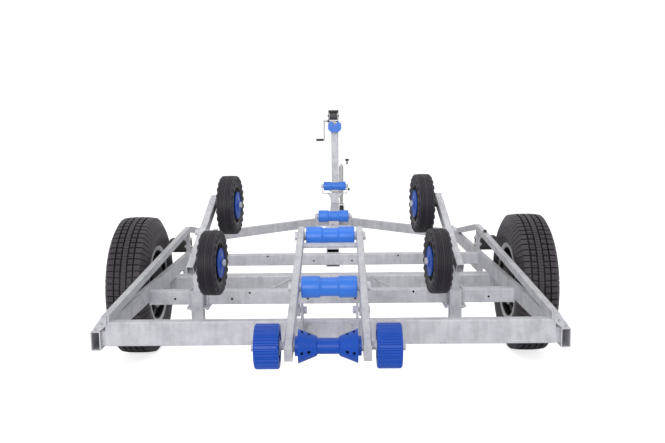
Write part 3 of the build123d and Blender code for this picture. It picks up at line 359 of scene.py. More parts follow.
def rim_material(silver, dark):
    """Silver wheel paint; on the inboard side the brake drum is dark as its real paint, and the well of the
    rim is darkened as painted shade.
    """
    material = moulded_material("wheel_silver", silver, 0.06, 0.34, 0.0001, coat=0.3)
    tree = material.node_tree
    base = tree.nodes["Principled BSDF"].inputs["Base Color"]
    x, y, z = add(tree, "ShaderNodeSeparateXYZ", Vector=place_in(tree)).outputs
    centre = JOINTS["wheel_right"]["pos_m"]
    flat = add(tree, "ShaderNodeCombineXYZ", Y=y, Z=z).outputs[0]
    away = add(tree, "ShaderNodeVectorMath", {"operation": "DISTANCE"}, i0=flat, i1=(0, centre[1], centre[2]))
    # the drum's real dark paint, and painted shade in the rim's well, inside this radius on the inboard side
    drum_and_shaded_well = maths(tree, "LESS_THAN", away.outputs["Value"], DRUM_AND_SHADE_RADIUS)
    inboard = maths(tree, "LESS_THAN", maths(tree, "ABSOLUTE", x), abs(centre[0]) + RIM_DISC)
    shade = between(tree, maths(tree, "MULTIPLY", drum_and_shaded_well, inboard), base.links[0].from_socket, dark)
    tree.links.new(shade, base)
    return material


def webbing_material(colour):
    """Woven strap: fine ribs across and along."""
    material, tree, shader = blank("webbing")
    place = place_in(tree)
    waves = [
        add(tree, "ShaderNodeTexWave", {"bands_direction": way}, Vector=place, Scale=scale, Distortion=1.5)
        for way, scale in (("X", 90.0), ("Z", 60.0))
    ]
    weave = maths(tree, "MULTIPLY", *(wave.outputs["Fac"] for wave in waves))
    shade = between(tree, weave, dimmed(colour, 0.6), dimmed(colour, 1.5))
    matt = ranged(tree, weave, 0.65, 0.85)
    feed(tree, shader, Base_Color=shade, Roughness=matt, Normal=raised(tree, weave, 0.0006))
    return material


# moulded finishes: the user's colour, spread of shade, roughness, relief, other settings
MOULDED = {
    # cuts: painted shade in the tread's cuts
    "road_rubber": ("rubber", 0.25, 0.50, 0.0003, {"dust": 0.05, "shine": 0.2, "cuts": True}),
    "side_rubber": ("side_rubber", 0.20, 0.50, 0.0003, {"dust": 0.04, "shine": 0.2, "cuts": True}),
    "roller_blue": ("roller", 0.10, 0.36, 0.0001, {"shine": 0.35}),
    "deep_blue": ("deep_blue", 0.12, 0.38, 0.0001, {"shine": 0.25}),
    "black_plastic": ("black", 0.20, 0.42, 0.0002, {}),
    "pale_plastic": ("pale", 0.06, 0.45, 0.0001, {}),
}
# the others, from the user's colours
MAKERS = {
    "galvanised": lambda own: zinc_material("galvanised", own.zinc_light, own.zinc_dark, 0.2, 16.0, 0.0004),
    "plated": lambda own: zinc_material("plated", own.plated, dimmed(own.plated, 0.8), 0.8, 60.0, 0.0002),
    # painted shade: near-black, almost unshining discs set in holes, standing for the shade inside
    "hollow": lambda own: moulded_material("hollow", dimmed(own.black, 0.2), 0.2, 0.8, 0.0001, shine=0.05),
    "wheel_silver": lambda own: rim_material(own.silver, own.black),
    "webbing": lambda own: webbing_material(own.webbing),
}


@cache
def finish(name):
    """The material of a finish, from the user's colours."""
    own = chosen("trailer_finish")
    if name in MAKERS:
        return MAKERS[name](own)
    colour, *numbers, more = MOULDED[name]
    return moulded_material(name, getattr(own, colour), *numbers, **more)


# record's material slot, finish
SLOT_FINISH = {
    "galvanised": "galvanised",
    "zinc": "plated",
    "wheel_steel": "wheel_silver",
    "tyre": "road_rubber",
    "side_tyre": "side_rubber",
    "black_plastic": "black_plastic",
    "blue_roller": "roller_blue",
    "dark_blue_roller": "deep_blue",
    "strap": "webbing",
}
NODE_SLOT = {part["node"]: part["material_slot"] for part in RECORD["subparts"]}
NODE_BODY = {node: body for body, nodes in RECORD["behaviour"]["bodies"].items() for node in nodes}


# ---- meshes
def new_object(name, mesh, material=None):
    """A linked object with its material."""
    piece = bpy.data.objects.new(name, mesh)
    bpy.context.scene.collection.objects.link(piece)
    if material:
        mesh.materials.clear()
        mesh.materials.append(material)
    return piece


@contextmanager
def reworked(mesh):
    """A mesh as a bmesh, written back at the end."""
    work = bmesh.new()
    work.from_mesh(mesh)
    yield work
    work.to_mesh(mesh)
    work.free()


def mesh_of(name, points, faces, weld=1e-6):
    """A mesh from points and faces, with doubles merged and normals outwards."""
    mesh = bpy.data.meshes.new(name)
    mesh.from_pydata([tuple(p) for p in points], [], faces)
    with reworked(mesh) as work:
        bmesh.ops.remove_doubles(work, verts=work.verts, dist=weld)
        bmesh.ops.recalc_face_normals(work, faces=work.faces)
        for face in work.faces:
            face.smooth = False
    return mesh


def skin(count, rings, closed=False):
    """Quads between rings of points, from each ring to the next."""
    faces = []
    for k in range(rings if closed else rings - 1):
        here, there = k * count, (k + 1) % rings * count
        for i in range(count):
            j = (i + 1) % count
            faces.append((here + i, here + j, there + j, there + i))
    return faces


def lathe(profile, steps):
    """Points and quads of a closed profile of (x, radius) turned about X."""
    angles = [tau * k / steps for k in range(steps)]
    points = [Vector((x, r * cos(a), r * sin(a))) for a in angles for x, r in profile]
    return points, skin(len(profile), steps, closed=True)


ROUND_SHARE = 0.45         # the most that a rounded corner takes of the edge beside it


def rounded(profile, radius, steps=4):
    """A closed profile with its corners rounded; a corner is (x, r) or (x, r, own radius)."""
    out = []
    for i, corner in enumerate(profile):
        here = Vector(corner[:2])
        size = corner[2] if len(corner) > 2 else radius
        before = Vector(profile[i - 1][:2]) - here
        after = Vector(profile[(i + 1) % len(profile)][:2]) - here
        reach = min(size, before.length * ROUND_SHARE, after.length * ROUND_SHARE)
        if reach < 1e-6:
            out.append(tuple(here))
            continue
        start, end = here + before.normalized() * reach, here + after.normalized() * reach
        for k in range(steps + 1):
            t = k / steps
            out.append(tuple(start * (1 - t) ** 2 + here * 2 * t * (1 - t) + end * t**2))
    return out


CUT_DEPTH = 0.0005         # a face this far below the crown lies in a cut


def mark_cuts(mesh, crown, reach):
    """Marks the faces that lie below a tread's crown, where the finish paints shade."""
    marks = []
    for face in mesh.polygons:
        x, y, z = face.center
        marks.append(float(abs(x) < reach and sqrt(y * y + z * z) < crown(x) - CUT_DEPTH))
    mesh.attributes.new("cut", "FLOAT", "FACE").data.foreach_set("value", marks)
    return mesh


def sharp(piece, angle=32):
    """Smooth shading with the sharp edges kept."""
    with reworked(piece.data) as work:
        for face in work.faces:
            face.smooth = True
        for edge in work.edges:
            edge.smooth = len(edge.link_faces) == 2 and edge.calc_face_angle(0) < radians(angle)
    return piece


def place_of(body):
    """Where a spinning body's axis stands, as a matrix from its own X axis to the trailer."""
    joint = JOINTS[body]
    axis = Vector(joint["axis"]).normalized()
    across = Vector((0, 0, 1)).cross(axis).normalized()
    up = axis.cross(across)
    turn = Matrix((axis, across, up)).transposed().to_4x4()
    return Matrix.Translation(Vector(joint["pos_m"])) @ turn


def settle(piece, body, slot, *nodes):
    """Puts a finished piece on its body and hides the CAD nodes that it stands for; its slot is not used."""
    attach(piece, body)
    if nodes:
        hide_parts(*nodes)
    return piece


def placed(name, shape, at, body, slot, *nodes, look=None):
    """A piece from points and faces in its own frame, set in its place on a body."""
    piece = new_object(name, mesh_of(name, *shape), finish(look or SLOT_FINISH[slot]))
    piece.data.transform(at)
    return settle(sharp(piece), body, slot, *nodes)


# ---- Geometry Nodes
def geometry_tree(name, *inputs):
    """An empty geometry tree with a Geometry input and output, the named inputs and a Material."""
    tree = bpy.data.node_groups.new(name, "GeometryNodeTree")
    for label, kind, value in (("Geometry", "Geometry", None), *inputs, ("Material", "Material", None)):
        socket(tree, label, "NodeSocket" + kind, value)
    socket(tree, "Geometry", "NodeSocketGeometry", output=True)
    return tree, tree.nodes.new("NodeGroupInput").outputs


def ended(tree, given, geometry, weld=None):
    """Ends a geometry tree: real copies, doubles merged where asked, and the material."""
    shape = add(tree, "GeometryNodeRealizeInstances", Geometry=geometry).outputs[0]
    if weld is not None:
        shape = add(tree, "GeometryNodeMergeByDistance", Geometry=shape, Distance=weld).outputs[0]
    painted = add(tree, "GeometryNodeSetMaterial", Geometry=shape, Material=given["Material"])
    add(tree, "NodeGroupOutput", Geometry=painted.outputs[0])
    return tree


@cache
def ring_tree():
    """Repeats a sector round X: tread pitches, lugs, ribs and spokes."""
    tree, given = geometry_tree("ring_of_sectors", ("Count", "Int", 12), ("Weld", "Float", 1e-5))
    seats = add(tree, "GeometryNodeMeshLine", Count=given["Count"], Offset=(0, 0, 0)).outputs[0]
    index = tree.nodes.new("GeometryNodeInputIndex").outputs[0]
    angle = maths(tree, "MULTIPLY", index, maths(tree, "DIVIDE", tau, given["Count"]))
    turn = add(tree, "ShaderNodeCombineXYZ", X=angle).outputs[0]
    spread = {"Points": seats, "Instance": given["Geometry"], "Rotation": turn}
    return ended(tree, given, add(tree, "GeometryNodeInstanceOnPoints", **spread).outputs[0], given["Weld"])


@cache
def scatter_tree():
    """Sets a copy of a pattern piece at each point, along its axis and at its size: bolts, nuts and caps."""
    tree, given = geometry_tree("pieces_at_points", ("Pattern", "Object", None))
    axis, size = (
        add(tree, "GeometryNodeInputNamedAttribute", {"data_type": "FLOAT_VECTOR"}, Name=name).outputs[0]
        for name in ("axis", "size")
    )
    turn = add(tree, "FunctionNodeAlignRotationToVector", {"axis": "Z"}, Vector=axis).outputs[0]
    pattern = add(tree, "GeometryNodeObjectInfo", Object=given["Pattern"]).outputs["Geometry"]
    spread = {"Points": given["Geometry"], "Instance": pattern, "Scale": size, "Rotation": turn}
    return ended(tree, given, add(tree, "GeometryNodeInstanceOnPoints", **spread).outputs[0])


RIPPLE_DEPTH = -0.22       # how much thinner every other point of a bead is
DRIFT_SCALE, DRIFT_LEAST = 70.0, 0.5         # the slow drift of a bead's width, and its least


@cache
def weld_tree():
    """Turns edge paths into rippled weld beads."""
    tree, given = geometry_tree("weld_beads", ("Half Width", "Float", 0.003), ("Ripple", "Float", 0.0035))
    path = add(tree, "GeometryNodeMeshToCurve", Mesh=given["Geometry"]).outputs[0]
    half = maths(tree, "MULTIPLY", given["Ripple"], 0.5)
    even = add(tree, "GeometryNodeResampleCurve", {"mode": "LENGTH"}, Curve=path, Length=half).outputs[0]
    odd = maths(tree, "MODULO", tree.nodes.new("GeometryNodeInputIndex").outputs[0], 2.0)
    wave = maths(tree, "MULTIPLY_ADD", odd, RIPPLE_DEPTH, 1.0)
    drift = maths(tree, "ADD", add(tree, "ShaderNodeTexNoise", Scale=DRIFT_SCALE).outputs[0], DRIFT_LEAST)
    size = maths(tree, "MULTIPLY", maths(tree, "MULTIPLY", wave, drift), given["Half Width"])
    circle = add(tree, "GeometryNodeCurvePrimitiveCircle", Resolution=6, Radius=1.0).outputs[0]
    thick = add(tree, "GeometryNodeSetCurveRadius", Curve=even, Radius=size).outputs[0]
    bead = add(tree, "GeometryNodeCurveToMesh", Curve=thick, i1=circle, Fill_Caps=True)
    if "Scale" in bead.inputs:
        feed(tree, bead, Scale=size)
    return ended(tree, given, bead.outputs[0])


def grown(piece, maker, **inputs):
    """The piece's mesh after one geometry tree, as a plain mesh in the same object."""
    tree = maker()
    modifier = piece.modifiers.new(tree.name, "NODES")
    modifier.node_group = tree
    names = {item.name: item.identifier for item in tree.interface.items_tree if item.in_out == "INPUT"}
    for key, value in inputs.items():
        modifier[names[key.replace("_", " ")]] = value
    bpy.context.view_layer.update()
    evaluated = piece.evaluated_get(bpy.context.evaluated_depsgraph_get())
    mesh = bpy.data.meshes.new_from_object(evaluated)
    piece.modifiers.clear()
    piece.data = mesh
    return piece


def ring_piece(name, mesh, count, body, slot, node, angle=32):
    """A sector repeated round a body's axis, in its place on the body."""
    piece = grown(new_object(name, mesh), ring_tree, Count=count, Material=finish(SLOT_FINISH[slot]))
    with reworked(piece.data) as work:
        bmesh.ops.recalc_face_normals(work, faces=work.faces)
    piece.data.transform(place_of(body))
    return settle(sharp(piece, angle), body, slot, node)


def prism(sides, radius, low, high, turn=0.0):
    """Points and faces of an upright prism or short cylinder."""
    angles = [turn + tau * k / sides for k in range(sides)]
    points = [Vector((radius * cos(a), radius * sin(a), z)) for z in (low, high) for a in angles]
    faces = [tuple(reversed(range(sides))), tuple(range(sides, 2 * sides))]
    return points, faces + skin(sides, 2)


def joined(*parts):
    """Several (points, faces) pairs as one."""
    points, faces = [], []
    for more, shapes in parts:
        start = len(points)
        points += more
        faces += [tuple(start + i for i in face) for face in shapes]
    return points, faces


def upright(profile, steps):
    """A closed (z, radius) profile turned about Z."""
    points, faces = lathe(profile, steps)
    return [Vector((-p.z, p.y, p.x)) for p in points], faces


# pattern pieces, one unit across and high, on their seat: prisms of sides, radius, start and end
HEAD_TURN = pi / 6
BOLT = ((24, 0.78, 0, 0.2), (6, 0.577, 0.2, 0.88, HEAD_TURN), (6, 0.50, 0.88, 1.0, HEAD_TURN))
NUT = ((24, 0.74, 0, 0.14), (6, 0.577, 0.14, 0.72, HEAD_TURN), (16, 0.30, 0.72, 1.2))
KNOB = [(0, 0.0), (0, 0.5), (0.5, 0.5), (1.0, 0.3), (1.0, 0.0)]
PATTERNS = {
    "bolt": joined(*(prism(*part) for part in BOLT)),
    "nut": joined(*(prism(*part) for part in NUT)),
    "disc": prism(20, 0.5, 0, 1),
    "knob": upright(rounded(KNOB, 0.2, 3), 24),
}


def scattered(name, places, pattern, body, slot, at=None, look=None):
    """Pattern pieces set at places of (position, axis, size across, height), as one piece on a body."""
    seed = sharp(new_object("pattern", mesh_of("pattern", *PATTERNS[pattern], weld=1e-5)))
    seats, axes, across, heights = zip(*places)
    mesh = bpy.data.meshes.new(name)
    mesh.from_pydata([tuple(seat) for seat in seats], [], [])
    for label, row in (("axis", axes), ("size", zip(across, across, heights))):
        flat = [value for vector in row for value in vector]
        mesh.attributes.new(label, "FLOAT_VECTOR", "POINT").data.foreach_set("vector", flat)
    material = finish(look or SLOT_FINISH[slot])
    piece = grown(new_object(name, mesh), scatter_tree, Pattern=seed, Material=material)
    bpy.data.objects.remove(seed)
    if at is not None:
        piece.data.transform(at)
    return settle(piece, body, slot)


def spot(x, station, z):
    """A place from millimetres: across, ahead of the wheels' axis, and up."""
    return Vector((x, station - MIDDLE, z)) * MM


def welded(name, loops, body):
    """Rippled weld beads along loops and lines of places, on a body."""
    own = chosen("trailer_hardware")
    points, edges = [], []
    for loop in loops:
        start = len(points)
        points += loop
        edges += [(start + k, start + k + 1) for k in range(len(loop) - 1)]
    mesh = bpy.data.meshes.new(name)
    mesh.from_pydata([tuple(p) for p in points], edges, [])
    piece = new_object(name, mesh)
    grown(piece, weld_tree, Half_Width=own.weld, Ripple=own.ripple, Material=finish("galvanised"))
    return settle(piece, body, "galvanised")


def line(*places):
    """A run of places."""
    return [spot(*place) for place in places]


def frame_x(x, y0, y1, z0, z1):
    """The outline of a tube's end that meets a face across X."""
    return line((x, y0, z0), (x, y1, z0), (x, y1, z1), (x, y0, z1), (x, y0, z0))


def frame_z(x0, x1, y0, y1, z):
    """The outline of a foot that stands on a level face."""
    return line((x0, y0, z), (x1, y0, z), (x1, y1, z), (x0, y1, z), (x0, y0, z))


# ---- road tyres
TYRE_RADIUS = 0.328
CROWN_DROP, CROWN_REACH = 0.0036, 0.066      # the tread falls by this much at this distance from its middle
# across the tread: start, end, what it is
TREAD_BANDS = (
    (-71, -45, "shoulder"), (-45, -38, "groove"), (-38, -17, "rib"), (-17, -10.5, "groove"),
    (-10.5, 10.5, "centre"), (10.5, 17, "groove"), (17, 38, "rib"), (38, 45, "groove"), (45, 71, "shoulder"),
)
TREAD_EDGE = 0.0705        # cuts further out belong to the sidewall
# along one pitch: end of the row, what is cut there
TREAD_ROWS = (
    (0.12, ""), (0.18, "sipe"), (0.42, ""), (0.60, "slot"), (0.66, ""), (0.72, "sipe"), (1.0, ""),
)
SLOT_ROW = 3
CUTS = {"shoulder": ("slot",), "rib": ("sipe", "slot"), "centre": ("sipe",), "groove": ()}
SLOT_SHARE = 0.8           # a shoulder slot's depth, as a share of a groove's
ZIGZAG, ZIGZAG_REACH = 0.0016, 0.06          # the main grooves' swing, and how far from the middle they swing
# the sidewall: across, radius
SIDEWALL = (
    (-78, 312), (-86, 298), (-91, 286), (-95, 270), (-97, 254), (-95.6, 236), (-92, 222), (-88, 210),
    (-83, 197), (-78, 184), (-73, 171),
)
# how far a shoulder slot is sunk at the first points of the sidewall, and the share of it in each direction
SLOT_SUNK = (0.0045, 0.0045, 0.003, 0.0015)
SUNK_SHARE = 0.7


def crown(x):
    """The tread's radius at a distance from its middle, in metres."""
    return TYRE_RADIUS - CROWN_DROP * abs(x / CROWN_REACH) ** 3


def tread_pitch(pitches, groove, sipe):
    """One pitch of a tyre: its tread blocks, cuts and both sidewalls."""
    sector = tau / pitches
    points, faces = [], []

    def quad(*corners):
        start = len(points)
        points.extend(corners)
        faces.append(tuple(range(start, start + len(corners))))

    def at(x, radius, share):
        angle = sector * share
        return Vector((x, radius * cos(angle), radius * sin(angle)))

    def corner(x, low, share):
        """A place on the tread, sunk by low; the main grooves run in a shallow zigzag."""
        swing = ZIGZAG * (1 - abs(2 * share - 1)) if abs(x) < ZIGZAG_REACH else 0
        return at(x + swing, crown(x) - low, share)

    def sunk_by(band, cut):
        """How deep a row's cut goes in a band."""
        if band == "groove":
            return groove
        if cut not in CUTS[band]:
            return 0.0
        return sipe if cut == "sipe" or band == "rib" else groove * SLOT_SHARE

    rows, start = [], 0.0
    for end, cut in TREAD_ROWS:
        rows.append((start, end, cut))
        start = end
    depth = [[sunk_by(band, cut) for _, _, cut in rows] for _, _, band in TREAD_BANDS]
    for i, (x0, x1, _) in enumerate(TREAD_BANDS):
        a, b = x0 * MM, x1 * MM
        for j, (s, e, _) in enumerate(rows):
            low = depth[i][j]
            quad(corner(a, low, s), corner(b, low, s), corner(b, low, e), corner(a, low, e))
            if i + 1 < len(TREAD_BANDS) and depth[i + 1][j] != low:
                other = depth[i + 1][j]
                quad(corner(b, low, s), corner(b, other, s), corner(b, other, e), corner(b, low, e))
            if j + 1 < len(rows) and depth[i][j + 1] != low:
                other = depth[i][j + 1]
                quad(corner(a, low, e), corner(a, other, e), corner(b, other, e), corner(b, low, e))
    for sign in (-1, 1):
        edge = TREAD_BANDS[0][0] * MM * -sign
        plain = [(edge, crown(edge))] + [(-x * MM * sign, r * MM) for x, r in SIDEWALL]
        sunk = [(edge, crown(edge) - depth[0][SLOT_ROW])]
        for k, (x, r) in enumerate(plain[1:]):
            low = SLOT_SUNK[k] if k < len(SLOT_SUNK) else 0
            sunk.append((x - SUNK_SHARE * low * sign, r - SUNK_SHARE * low))
        for s, e, cut in rows:
            profile = sunk if cut == "slot" else plain
            for (xa, ra), (xb, rb) in zip(profile, profile[1:]):
                quad(at(xa, ra, s), at(xb, rb, s), at(xb, rb, e), at(xa, ra, e))
            for share in (s, e) if cut == "slot" else ():
                for k in range(len(SLOT_SUNK)):
                    quad(*(at(*place, share) for place in (plain[k], sunk[k], sunk[k + 1], plain[k + 1])))
    x, r = -SIDEWALL[-1][0] * MM, SIDEWALL[-1][1] * MM
    for s, e, _ in rows:
        quad(at(-x, r, s), at(x, r, s), at(x, r, e), at(-x, r, e))
    return points, faces


class TRAILER_OT_road_tyres(bpy.types.Operator):
    """Road tyres with blocks, grooves and sipes"""

    bl_idname = "trailer.road_tyres"
    bl_label = "Road tyres"

    def execute(self, context):
        own = chosen("trailer_tyre")
        points, faces = tread_pitch(own.pitches, own.groove_depth, own.sipe_depth)
        for side, _ in SIDES:
            body, node = f"wheel_{side}", f"tyre_{side}"
            mesh = mark_cuts(mesh_of("tread_pitch", points, faces), crown, TREAD_EDGE)
            ring_piece(f"road_{node}", mesh, own.pitches, body, "tyre", node, angle=24)
        return {"FINISHED"}


# ---- side wheels
SIDE_BODIES = [f"side_wheel_{side}_{end}" for side, _ in SIDES for end in ("rear", "front")]
SIDE_RADIUS = 0.130
SIDE_SLIM = 0.93           # the tyre's width, as a share of its profile's
CROWN_CURVE = 0.9
SIDE_TREAD = 0.029         # half the ribbed tread's width
# half of the tyre's profile: its bead, then the lugs' shoulder
SIDE_BEAD = [(0.029, 0.0885), (0.036, 0.0905), (0.0385, 0.099)]
SHOULDER = 0.0375
# the ribs: the first one's edge, and where one starts, ends, and its groove starts and ends
RIB_START, RIB_STOP, RIB_PITCH, GROOVE_DEPTH = 0.0305, 0.003, 0.0066, 0.0020
RIB_EDGES = ((0, 0), (0.0040, 0), (0.0044, GROOVE_DEPTH), (0.0062, GROOVE_DEPTH))
STEPS_PER_LUG = 6


def side_crown(x):
    """A side wheel's radius at a distance from its middle."""
    return SIDE_RADIUS - CROWN_CURVE * x * x


def side_tyre_sector(lugs, reach):
    """One lug's sector of a side wheel's tyre: ribbed tread and scalloped shoulders."""
    rings = []
    for k in range(STEPS_PER_LUG + 1):
        share = k / STEPS_PER_LUG
        lug = 0.5 - 0.5 * cos(tau * share)
        lug = lug * lug * (3 - 2 * lug)
        out = SHOULDER + reach * lug
        half = SIDE_BEAD + [(SHOULDER + 0.5 * reach * lug, 0.106), (out, 0.1135), (out - 0.0012, 0.1205)]
        half += [(out - 0.0055, 0.1266), (0.0325, SIDE_RADIUS - 0.0016)]
        x = RIB_START
        while x > RIB_STOP:
            half += [(x - along, side_crown(x) - low) for along, low in RIB_EDGES]
            x -= RIB_PITCH
        half = [(x * SIDE_SLIM, r) for x, r in half]
        profile = half + [(-x, r) for x, r in reversed(half)]
        angle = tau / lugs * share
        rings.append([Vector((x, r * cos(angle), r * sin(angle))) for x, r in profile])
    return [p for ring in rings for p in ring], skin(len(rings[0]), len(rings))


def bar_prism(path, width, depth):
    """A flat bar along a path in the Y-Z plane: width across the path, depth along X as (low, high)."""
    points = []
    for i, (y, z) in enumerate(path):
        before, after = Vector(path[max(i - 1, 0)]), Vector(path[min(i + 1, len(path) - 1)])
        along = (after - before).normalized()
        side = Vector((-along.y, along.x)) * (width[i] / 2)
        for x, sign in ((depth[0], 1), (depth[1], 1), (depth[1], -1), (depth[0], -1)):
            points.append(Vector((x, y + sign * side.x, z + sign * side.y)))
    ends = [(0, 1, 2, 3), tuple(len(points) - 4 + k for k in (3, 2, 1, 0))]
    return points, skin(4, len(path)) + ends


BORE = 0.01005             # of all rollers and wheels on pins
# both spoke layers: inboard and outboard face
SPOKE_LAYERS = ((0.012, 0.027), (-0.027, -0.012))
# a forked spoke: its stem and two prongs, each a path of (round, out) and its widths
SPOKE_BARS = (
    ([(0.026, 0), (0.055, 0.004), (0.074, 0.002)], [0.009, 0.007, 0.008]),
    ([(0.068, 0.003), (0.079, 0.012), (0.0875, 0.021)], [0.006, 0.006, 0.008]),
    ([(0.068, 0.003), (0.079, -0.008), (0.0875, -0.017)], [0.006, 0.006, 0.008]),
)
# profiles: across, radius
SIDE_RIM = [
    (-0.033, 0.0865), (-0.033, 0.089), (0.033, 0.089), (0.033, 0.0865), (0.030, 0.080), (-0.030, 0.080),
]
SIDE_CORE = [(-0.041, BORE), (-0.041, 0.024), (-0.030, 0.030), (0.030, 0.030), (0.041, 0.024), (0.041, BORE)]
SPACER = ((0.042, 0.0102), (0.042, 0.0172), (0.0640, 0.0172), (0.0640, 0.0102))


class TRAILER_OT_side_wheels(bpy.types.Operator):
    """Side wheels with scalloped tyres, spoked rims and blue bearing rings"""

    bl_idname = "trailer.side_wheels"
    bl_label = "Side wheels"

    def execute(self, context):
        own = chosen("trailer_side_wheel")
        sector = side_tyre_sector(own.lugs, own.lug_reach)
        spoke = joined(*(bar_prism(*bar, layer) for layer in SPOKE_LAYERS for bar in SPOKE_BARS))
        rim = joined(lathe(rounded(SIDE_RIM, 0.001, 2), 66), lathe(rounded(SIDE_CORE, 0.002, 2), 48))
        ring = own.ring_radius
        # the blue ring's dish, from its hub to its rim and back
        dish = [
            (0.0415, 0.0115), (0.0415, 0.022), (0.036, 0.034), (0.033, ring - 0.004), (0.036, ring),
            (0.031, ring), (0.0285, ring - 0.006), (0.030, 0.031), (0.031, 0.0115),
        ]
        for body in SIDE_BODIES:
            inward = 1 if "left" in body else -1
            tail = body.replace("side_wheel_", "")
            at = place_of(body)
            mesh = mark_cuts(mesh_of("side_sector", *sector), side_crown, SIDE_TREAD)
            name, node = f"side_wheel_tyre_{tail}", f"side_tyre_{tail}"
            ring_piece(name, mesh, own.lugs, body, "side_tyre", node, angle=30)
            name, node = f"side_wheel_spokes_{tail}", f"side_hub_{tail}"
            ring_piece(name, mesh_of("spoke", *spoke), own.spokes, body, "black_plastic", node)
            placed(f"side_wheel_rim_{tail}", rim, at, body, "black_plastic")
            collar = lathe(rounded([(x * inward, r) for x, r in dish], 0.0012, 2), 64)
            placed(f"side_wheel_ring_{tail}", collar, at, body, "dark_blue_roller")
            spacer = lathe([(-x * inward, r) for x, r in SPACER], 32)
            placed(f"bearing_spacer_{tail}", spacer, at, JOINTS[body]["parent"], "black_plastic")
        return {"FINISHED"}


# ---- rollers
# half a keel roller's profile: across, radius, how its corner is rounded (None: by the user's edge)
KEEL_PROFILE = (
    (0.0285, 0.0325, 0.0025), (0.0345, 0.0375, 0.0025), (0.095, 0.0375, None), (0.095, BORE, 0),
)
# the stern roller's flared wing: radius where it starts, that place, and its slope
WING_ROOT, WING_START, WING_SLOPE = 0.0296, 0.034, 0.396
STERN_TURN = 12            # degrees
# its holes: which wing, distance from the middle
STERN_HOLES = ((-1, 0.076), (-1, 0.056), (1, 0.056), (1, 0.076))
# the dark discs of painted shade in the stern roller's holes: across, sunk below the surface, height
SHADE_DISC_WIDTH, SHADE_DISC_SUNK, SHADE_DISC_HEIGHT = 0.0096, 0.0005, 0.0007


class TRAILER_OT_rollers(bpy.types.Operator):
    """Keel rollers and the stern roller"""

    bl_idname = "trailer.rollers"
    bl_label = "Rollers"

    def execute(self, context):
        edge = chosen("trailer_roller").edge
        half = [(x, r, edge if corner is None else corner) for x, r, corner in KEEL_PROFILE]
        keel = lathe(rounded([(-x, r, corner) for x, r, corner in reversed(half)] + half, edge), 64)
        for k in range(1, 5):
            name = f"keel_roller_{k}"
            placed(f"moulded_{name}", keel, place_of(name), name, "blue_roller", name)
        # painted shade in the stern roller's holes: dark discs that rest a little below its sides and its top
        rest = place_of("stern_roller") @ Matrix.Rotation(radians(STERN_TURN), 4, "X")
        mesh = frame["nodes"]["stern_roller"].data.copy()
        stern = new_object("turned_stern_roller", mesh, finish("deep_blue"))
        stern.data.transform(rest @ place_of("stern_roller").inverted())
        settle(stern, "stern_roller", "dark_blue_roller", "stern_roller")
        points = []
        for quarter in range(4):
            way = Vector((0, sin(quarter * tau / 4), cos(quarter * tau / 4)))
            for sign, reach in STERN_HOLES:
                lean = way - Vector((sign * WING_SLOPE, 0, 0))
                seat = Vector((sign * reach, 0, 0)) + way * (WING_ROOT + WING_SLOPE * (reach - WING_START))
                points.append((seat - lean * SHADE_DISC_SUNK, lean, SHADE_DISC_WIDTH, SHADE_DISC_HEIGHT))
        name = "stern_roller_holes"
        scattered(name, points, "disc", "stern_roller", "black_plastic", rest, look="hollow")
        return {"FINISHED"}


# ---- welds and fasteners
FIXED = NODE_BODY["rear_crossbeam"]
TOP, BOTTOM, WEB, OUTER = 404, 342, 783, 808           # the side beams
BAR_HALF, BAR_TOP, BAR_BOTTOM = 35, 419, 319           # the drawbar
# the inner crossbeams: rear face, front face, bottom, top
CROSSBEAMS = ((-423, -373, 326, 386), (412, 462, 337, 397))
# holes in their rear faces: across, and distance below the beam's top
BEAM_HOLES = (
    ((-675, 34), (-429, 36), (-352, 10), (-102, 37), (102, 37), (352, 10), (675, 34)),
    ((-352, 10), (-103, 36), (103, 36), (352, 10)),
)


def foot_line(station, reach):
    """A foot's edge along the drawbar's side."""
    return line((BAR_HALF, station - reach, BAR_TOP), (BAR_HALF, station + reach, BAR_TOP))


# welds on both sides, seen on the right
SIDE_WELDS = [frame_x(WEB, *beam) for beam in CROSSBEAMS] + [
    # the rear crossbeam's end
    line((WEB, -960, BOTTOM), (WEB, -960, TOP), (OUTER, -960, TOP)),
    # the brace's ends, at the beam and at the drawbar
    frame_x(WEB, 1362, 1419, 331, 389),
    frame_x(BAR_HALF, 2111, 2166, 331, 389),
    # the guard rail's ends, and its post's foot
    line((OUTER, -997, TOP), (OUTER, -640, TOP)),
    line((WEB, -640, TOP), (WEB, -950, TOP)),
    line((WEB, 1110, TOP), (WEB, 1215, TOP), (OUTER, 1215, TOP), (OUTER, 1110, TOP)),
    frame_z(785.5, 805.5, 480, 500, TOP),
    # the axle's mounting rail
    line((OUTER, 292, BOTTOM), (OUTER, 400, BOTTOM)),
    line((OUTER, 540, BOTTOM), (OUTER, 640, BOTTOM)),
    # the lamp socket's plate
    line((815, -988, 318), (815, -988, 366)),
    # the winch post's plate and the cradles' feet
    foot_line(4060, 75), foot_line(1172, 24), foot_line(2922, 24),
]
# the drawbar's rear end, the winch post's foot, and the rocker bracket's plate
MIDDLE_WELDS = [
    [spot(side * BAR_HALF, 462, z) for side, z in ((-1, BAR_BOTTOM), (-1, 397), (1, 397), (1, BAR_BOTTOM))],
    frame_z(-BAR_HALF, BAR_HALF, 4025, 4095, 427),
    line((-92, -1001, 336), (-92, -1001, 398)), line((92, -1001, 336), (92, -1001, 398)),
]


class TRAILER_OT_welds(bpy.types.Operator):
    """Weld beads where the frame's tubes meet"""

    bl_idname = "trailer.welds"
    bl_label = "Welds"

    def execute(self, context):
        loops = [[Vector((sign * p.x, p.y, p.z)) for p in loop] for sign in (-1, 1) for loop in SIDE_WELDS]
        welded("frame_welds", loops + MIDDLE_WELDS, FIXED)
        return {"FINISHED"}


